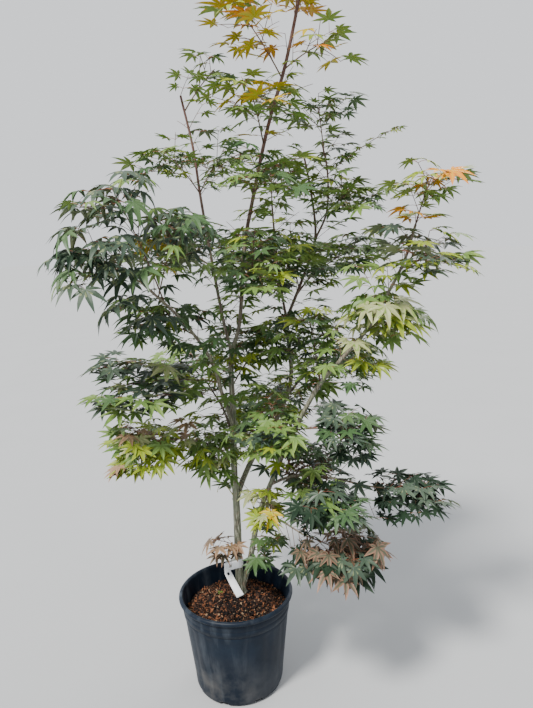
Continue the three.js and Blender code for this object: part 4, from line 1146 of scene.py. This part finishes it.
def leaf_pose(name, root, heading, size, attempt, draw):
    """A stalk that leaves level or rising, and a blade that droops from its end: its midrib, its left
    side rolled about the midrib, and its face."""
    turn = heading + (draw() - 0.5) * (POSE["turn"] + POSE["wider"] * attempt)
    rise = POSE["lowest"] + POSE["rise"] * draw()
    droops = by_height(POSE["flattest"], root), by_height(POSE["steepest"], root)
    droop = share_between(droops, draw()) + EXTRA_DROOPS.get(name, 0)
    roll = (draw() - 0.5) * POSE["roll"]
    scale = size * (POSE["smallest"] + POSE["growth"] * draw() - POSE["smaller"] * attempt)
    stalk = LEAF["stalk"] * (POSE["stalk"] + POSE["stalk_growth"] * draw()) * scale
    outward = np.array([math.cos(turn), math.sin(turn), 0])
    palm = root + stalk * (math.cos(rise) * outward + math.sin(rise) * UP)
    midrib = math.cos(droop) * outward - math.sin(droop) * UP
    flat = np.cross(UP, outward)
    left = math.cos(roll) * flat + math.sin(roll) * np.cross(midrib, flat)
    return {"root": root, "palm": palm, "midrib": midrib, "left": left, "face": np.cross(midrib, left),
            "reach": by_height(LEAF["reach"], root) * scale,
            "curl": share_between(CURL, draw()) + EXTRA_CURLS.get(name, 0),
            "fold": share_between(FOLD, draw())}


def spots_to_test():
    """Two spots on each lobe's midrib, as the x and the y of a leaf whose reach is 1."""
    angles, lengths = np.array(LOBES).T
    along = np.outer(lengths, TEST_SHARES)
    return tuple((along * part(angles)[:, None]).ravel() for part in (np.cos, np.sin))


def try_leaf(mass, spot, draw, size):
    """A leaf at a spot, tried at a few angles until it lies in the mass's space, clear of the wood and
    of the palms of the mass's other leaves."""
    root, heading = spot
    x, y = TEST_SPOTS
    for attempt in range(LEAF["tries"]):
        leaf = leaf_pose(mass["name"], root, heading, size, attempt, draw)
        drop = -leaf["curl"] * (x ** 2 + y ** 2)
        points = leaf["palm"] + leaf["reach"] * (
            x[:, None] * leaf["midrib"] + y[:, None] * leaf["left"] + drop[:, None] * leaf["face"])
        others = np.array(mass["palms"] or [(0, 0, -1)])
        nearest = np.linalg.norm(others - leaf["palm"], axis=1).min()
        if nearest >= by_height(LEAF["apart"], root) * size and in_space(mass, points) and has_room(points):
            return leaf
    return None


def deal_tint(mass, draw):
    """A tint for one spray, dealt out by the mass's shares."""
    pick = draw()
    for tint, share in OWN_SHARES.get(mass["name"], SHARES[mass["tint"]]):
        pick -= share
        if pick < 0:
            return tint
    return mass["tint"]


def grow_spray(mass, spots, draw, leaves):
    """The leaves of one spray, all of one tint; none where the mass is bare. Tells whether any grew."""
    tint = deal_tint(mass, draw)
    if draw() > FULLNESS.get(mass["name"], 1):
        return False
    return fill_spray(mass, spots, draw, leaves, tint, LEAF_SCALES.get(mass["name"], 1))


def fill_spray(mass, spots, draw, leaves, tint, size):
    """The leaves of one spray that find room. Tells whether there are any."""
    grown = 0
    for spot in spots:
        leaf = try_leaf(mass, spot, draw, size)
        if leaf:
            mass["palms"].append(leaf["palm"])
            leaves.append({**leaf, "tint": tint})
            grown += 1
    return grown > 0


def grow_mass(mass, rods, leaves):
    """Grows one mass: its stem, the main pairs, the finer twigs, and leaves at the end of each and in pairs
    along it."""
    draw = mass["draw"]
    stem = stem_path(mass)
    rods["stem"].append(stem)
    mains = list(twig_pairs("main", mass, stem, draw))
    fines = list(twig_pairs("fine", mass, stem, draw))
    grow_spray(mass, tip_spots(stem), draw, leaves)
    for main in mains:
        rods["main"].append(main)
        grow_spray(mass, tip_spots(main), draw, leaves)
        for twiglet in twig_pairs("twiglet", mass, main, draw):
            if grow_spray(mass, all_spots(twiglet, NODES["twiglet"]), draw, leaves):
                rods["twiglet"].append(twiglet)
        grow_spray(mass, node_spots(main, NODES["main"]), draw, leaves)
    for fine in fines:
        if grow_spray(mass, all_spots(fine, NODES["fine"]), draw, leaves):
            rods["fine"].append(fine)
    grow_spray(mass, node_spots(stem, NODES["stem"]), draw, leaves)


def owner_of(point):
    """The mass whose space holds a point."""
    return ALL_MASSES[np.argmin(((point - MIDDLES) ** 2).sum(-1) - WEIGHTS)]


def grow_spurs(limb, rods, leaves):
    """Short spurs in opposite pairs along the thin part of a limb, each pair a quarter turn from the
    last, with leaves at their ends where there is room between the masses' own."""
    t, lengths = even_steps(limb["route"], SPURS["every"])
    line = curve_through(limb["route"], t)
    ways = unit(np.gradient(line, axis=0))
    radii = share_between(limb["radius"], t)
    for number in range(1, len(line)):
        start, along, radius = line[number], ways[number], radii[number]
        if radius > SPURS["thickest"] or start[2] < SPURS["lowest"]:
            continue
        draw = owner_of(start)["draw"]
        level = level_across(along)
        turn = number * math.pi / 2 + any_turn(draw)
        sideways = level * math.cos(turn) + np.cross(level, along) * math.sin(turn)
        for side in (-1, 1):
            direction = along * math.cos(SPURS["spread"]) + side * sideways * math.sin(SPURS["spread"])
            least, most = SPURS["length"]
            end = start + direction * (radius + least + (most - least) * draw())
            path = start, (start + end) / 2 + GROWTH["rise"] * np.linalg.norm(end - start) * UP, end
            if grow_spray(owner_of(end), all_spots(path, NODES["twiglet"]), draw, leaves):
                rods["fine"].append(path)


def grow_shoots(rods, leaves):
    """The small shoots on the limbs, with leaves at their ends and in pairs along them, each leaf in the
    space that holds its root."""
    for start, end, tint, size in SHOOTS:
        start, end = np.array(start), np.array(end)
        path = start, (start + end) / 2 + GROWTH["arch"] * np.linalg.norm(end - start) * UP, end
        rods["shoot"].append(path)
        for spot in all_spots(path, NODES["twiglet"] / size):
            mass = owner_of(spot[0])
            fill_spray(mass, [spot], mass["draw"], leaves, tint, size)


def half_lobes():
    """The outline of a leaf as half lobes, each seven points: the palm, the notch beside the lobe, the
    two midrib places, the two edge places, and the tip. Gives x, y, the distance from the midrib, the
    lobe's number, and the places that lie in the leaf and not on its rim."""
    x, y, off, lobe_number, inner = [], [], [], [], []
    for number, (angle, length) in enumerate(LOBES):
        for side in (-1, 1):
            beside = number + side
            known = 0 <= beside < len(LOBES)
            next_angle = (angle + LOBES[beside][0]) / 2 if known else angle + side * LOBE["heel_angle"]
            depth = LOBE["notch"] * (length + LOBES[beside][1]) / 2 if known else LOBE["heel"]
            ahead = np.array([math.cos(angle), math.sin(angle)])
            edge = side * np.array([-math.sin(angle), math.cos(angle)])
            first = ahead * LOBE["first"] * length
            second = ahead * LOBE["second"] * length
            notch = depth * np.array([math.cos(next_angle), math.sin(next_angle)])
            widths = (LOBE["first_width"] * length ** 0.5, LOBE["second_width"] * length ** 0.5)
            spots = [0 * ahead, notch, first, second, first + edge * widths[0], second + edge * widths[1],
                     ahead * length]
            x += [spot[0] for spot in spots]
            y += [spot[1] for spot in spots]
            off += [0, abs(notch @ edge), 0, 0, *widths, 0]
            lobe_number += [number] * LOBE["points"]
            inner += [True, False, True, True, False, False, False]
    return np.array(x), np.array(y), np.array(off), np.array(lobe_number), np.array(inner)


def half_lobe_faces():
    """The faces of the half lobes: two four-sided ones and the tip, turned so that each looks up."""
    quads, tips = [], []
    for half in range(2 * len(LOBES)):
        upwards = slice(None, None, 1 if half % 2 == 0 else -1)
        first = LOBE["points"] * half
        quads += [[first + corner for corner in face[upwards]] for face in ((0, 1, 4, 2), (2, 4, 5, 3))]
        tips.append([first + corner for corner in (3, 5, 6)[upwards]])
    return np.array(quads), np.array(tips)


def blade_points(leaves, under):
    """All the blades at once: the outline scaled by each leaf's reach and each lobe's own length, folded
    up from the midribs, curled down with the square of the distance from the palm, and laid along the
    leaf's three directions. The under side lies lower by the thickness inside its rim."""
    x, y, off, lobe_number, inner = half_lobes()
    rng = np.random.default_rng(len(leaves))
    stretch = 1 + LOBE["longer"] * (rng.random((len(leaves), len(LOBES))) - LOBE["shorter_share"])
    at_palm = np.isin(np.arange(len(x)) % LOBE["points"], (0, 1))
    own = np.where(at_palm, 1, stretch[:, lobe_number])
    palm, midrib, left, face, reach, curl, fold = (
        np.array([leaf[key] for leaf in leaves])[:, None]
        for key in ("palm", "midrib", "left", "face", "reach", "curl", "fold"))
    along, aside = x * own, y * own
    square = along ** 2 + aside ** 2
    rise = fold * off - curl * square - TIP_CURL * square ** 2
    if under:
        rise = rise - inner * LEAF["thickness"] / reach
    laid = along[..., None] * midrib + aside[..., None] * left + rise[..., None] * face
    return palm + reach[..., None] * laid


def add_blades(name, leaves, material, slot, under):
    """One piece of all the blades of a kind, upper or under sides. The age of a point is 1 on a rim."""
    points = blade_points(leaves, under)
    quads, tips = half_lobe_faces()
    if under:
        quads, tips = quads[:, ::-1], tips[:, ::-1]
    shift = points.shape[1] * np.arange(len(leaves))[:, None, None]
    faces = [(quads + shift).reshape(-1, 4), (tips + shift).reshape(-1, 3)]
    inner = half_lobes()[-1]
    piece = add_mesh(name, points.reshape(-1, 3), faces, material, ages=np.tile(~inner, len(leaves)))
    place_piece(piece, slot, *MASS_NAMES)


def make_leaves(leaves):
    """The blades by tint, and their under sides, paler as a maple's are and brightened as painted glow of
    light through the leaves.
    """
    for tint, colours in TINTS.items():
        chosen = [leaf for leaf in leaves if leaf["tint"] == tint]
        shine = SHINE.get(tint, PLAIN_SHINE)
        material = leaf_material("leaf_" + tint, colours, FACE_ROUGHNESS, shine, RIM_TINTS.get(tint))
        add_blades("leaves_" + tint, chosen, material, TINT_SLOTS.get(tint, "leaf_" + tint), False)
    for name, (first, second, tints) in UNDERSIDES.items():
        chosen = [leaf for leaf in leaves if leaf["tint"] in tints]
        rim = RIM_TINTS.get(tints[0])
        material = leaf_material("underside_" + name, (first, second), UNDERSIDE_ROUGHNESS, PLAIN_SHINE, rim)
        slot = TINT_SLOTS.get(tints[0], "leaf_" + tints[0])
        add_blades("leaf_undersides_" + name, chosen, material, slot, True)


def add_rods(name, kind, paths, material):
    """Many arched rods of one kind, each narrowing evenly from its root."""
    radii, sides, rings = RODS[kind]
    t = np.linspace(0, 1, rings)
    centres = arch([np.array([path[k] for path in paths])[:, None] for k in range(3)], t)
    row = share_between(radii, t)
    points, faces = tubes(centres, np.broadcast_to(row[:, None], (len(paths), rings, sides)))
    place_piece(add_mesh(name, points, faces, material), "young_bark", *MASS_NAMES)


def stalk_of(leaf):
    """A leaf's stalk: an arch from the twig to just past the palm and under its face."""
    root, palm = leaf["root"], leaf["palm"]
    bend = (root + palm) / 2 + STALK["arch"] * np.linalg.norm(palm - root) * UP
    return root, bend, palm + STALK["along"] * leaf["midrib"] - STALK["under"] * leaf["face"]


def make_twigs(rods, leaves):
    """Stems, twigs and leaf stalks, each kind joined in one piece, and the leafless twigs."""
    brown = twig_material("twig_skin", *TWIG_SKIN)
    red = twig_material("stalk_skin", *STALK_SKIN)
    for kind, paths in rods.items():
        add_rods("twigs_" + kind, kind, paths, brown)
    add_rods("leaf_stalks", "stalk", [stalk_of(leaf) for leaf in leaves], red)
    for name, (dark, pale, path) in BARE_TWIGS.items():
        add_rods(name, "bare", [tuple(map(np.array, path))], twig_material("skin_of_" + name, dark, pale))


# Stage


def put_in_scene(name, data, right, upward, back, place):
    """A camera or a lamp from its data, placed by its three axes: right, up, and away from its view."""
    thing = bpy.data.objects.new(name, data)
    turn = np.eye(4)
    turn[:3] = np.stack([right, upward, back, place], axis=1)
    thing.matrix_world = Matrix(turn)
    bpy.context.scene.collection.objects.link(thing)
    return thing


def add_camera():
    """The camera by its turns: forward from the yaw and the pitch, right and up across it, then rolled."""
    yaw, pitch, roll = (math.radians(CAMERA[key]) for key in ("right", "down", "roll"))
    forward = np.array([math.sin(yaw) * math.cos(pitch), math.cos(yaw) * math.cos(pitch), -math.sin(pitch)])
    level = np.array([math.cos(yaw), -math.sin(yaw), 0])
    above = np.cross(level, forward)
    right = level * math.cos(roll) + above * math.sin(roll)
    upward = above * math.cos(roll) - level * math.sin(roll)
    data = bpy.data.cameras.new("camera")
    data.sensor_fit = "HORIZONTAL"
    data.sensor_width = SENSOR_WIDTH_MM
    data.lens = CAMERA["focal_px"] * SENSOR_WIDTH_MM / IMAGE_WIDTH_PX
    bpy.context.scene.camera = put_in_scene("camera", data, right, upward, -forward, CAMERA["place"])


def add_sun(name, way, strength, softness, colour):
    """A soft sun that shines from one way: its axes are the way, a level one, and the one across both."""
    data = bpy.data.lights.new(name, "SUN")
    data.energy = strength
    data.angle = softness
    data.color = colour
    away = unit(np.array(way))
    right = unit(np.cross(UP, away))
    put_in_scene(name, data, right, np.cross(away, right), away, SUN_DISTANCE * away)


def add_stage():
    """A wide pale floor, a pale sky of about its tone, and the soft suns."""
    number = np.array([[0, 1, 2, 3]])
    corners = FLOOR_HALF * np.array([[-1, -1, 0], [1, -1, 0], [1, 1, 0], [-1, 1, 0]])
    material, tree, shader, place = start_material("floor_pale", 0.9, specular=0.2)
    soft = levels(tree, noise(tree, place, 2, 3), 0.3, 0.7)
    tree.links.new(blend(tree, soft, *FLOOR_TONES), shader.inputs["Base Color"])
    add_mesh("floor", corners, [number], material, smooth=False)
    world = bpy.data.worlds.new("sky")
    world.use_nodes = True
    back = world.node_tree.nodes["Background"]
    colour, strength = SKY
    back.inputs["Color"].default_value = (*colour, 1)
    back.inputs["Strength"].default_value = strength
    bpy.context.scene.world = world
    for sun in SUNS:
        add_sun(*sun)


# The whole plant

ALL_MASSES, MIDDLES, WEIGHTS = list_masses()
MASS_NAMES = [mass["name"] for mass in ALL_MASSES]
LIMB_POINTS, LIMB_RADII = limb_samples()
TEST_SPOTS = spots_to_test()

add_camera()
add_stage()
make_pot()
make_mix()
make_chips()
make_tag()
make_limbs()
grown_rods = {kind: [] for kind in ("stem", "main", "fine", "twiglet", "shoot")}
grown_leaves = []
for mass in ALL_MASSES:
    grow_mass(mass, grown_rods, grown_leaves)
for limb in LIMBS.values():
    grow_spurs(limb, grown_rods, grown_leaves)
grow_shoots(grown_rods, grown_leaves)
make_twigs(grown_rods, grown_leaves)
make_leaves(grown_leaves)
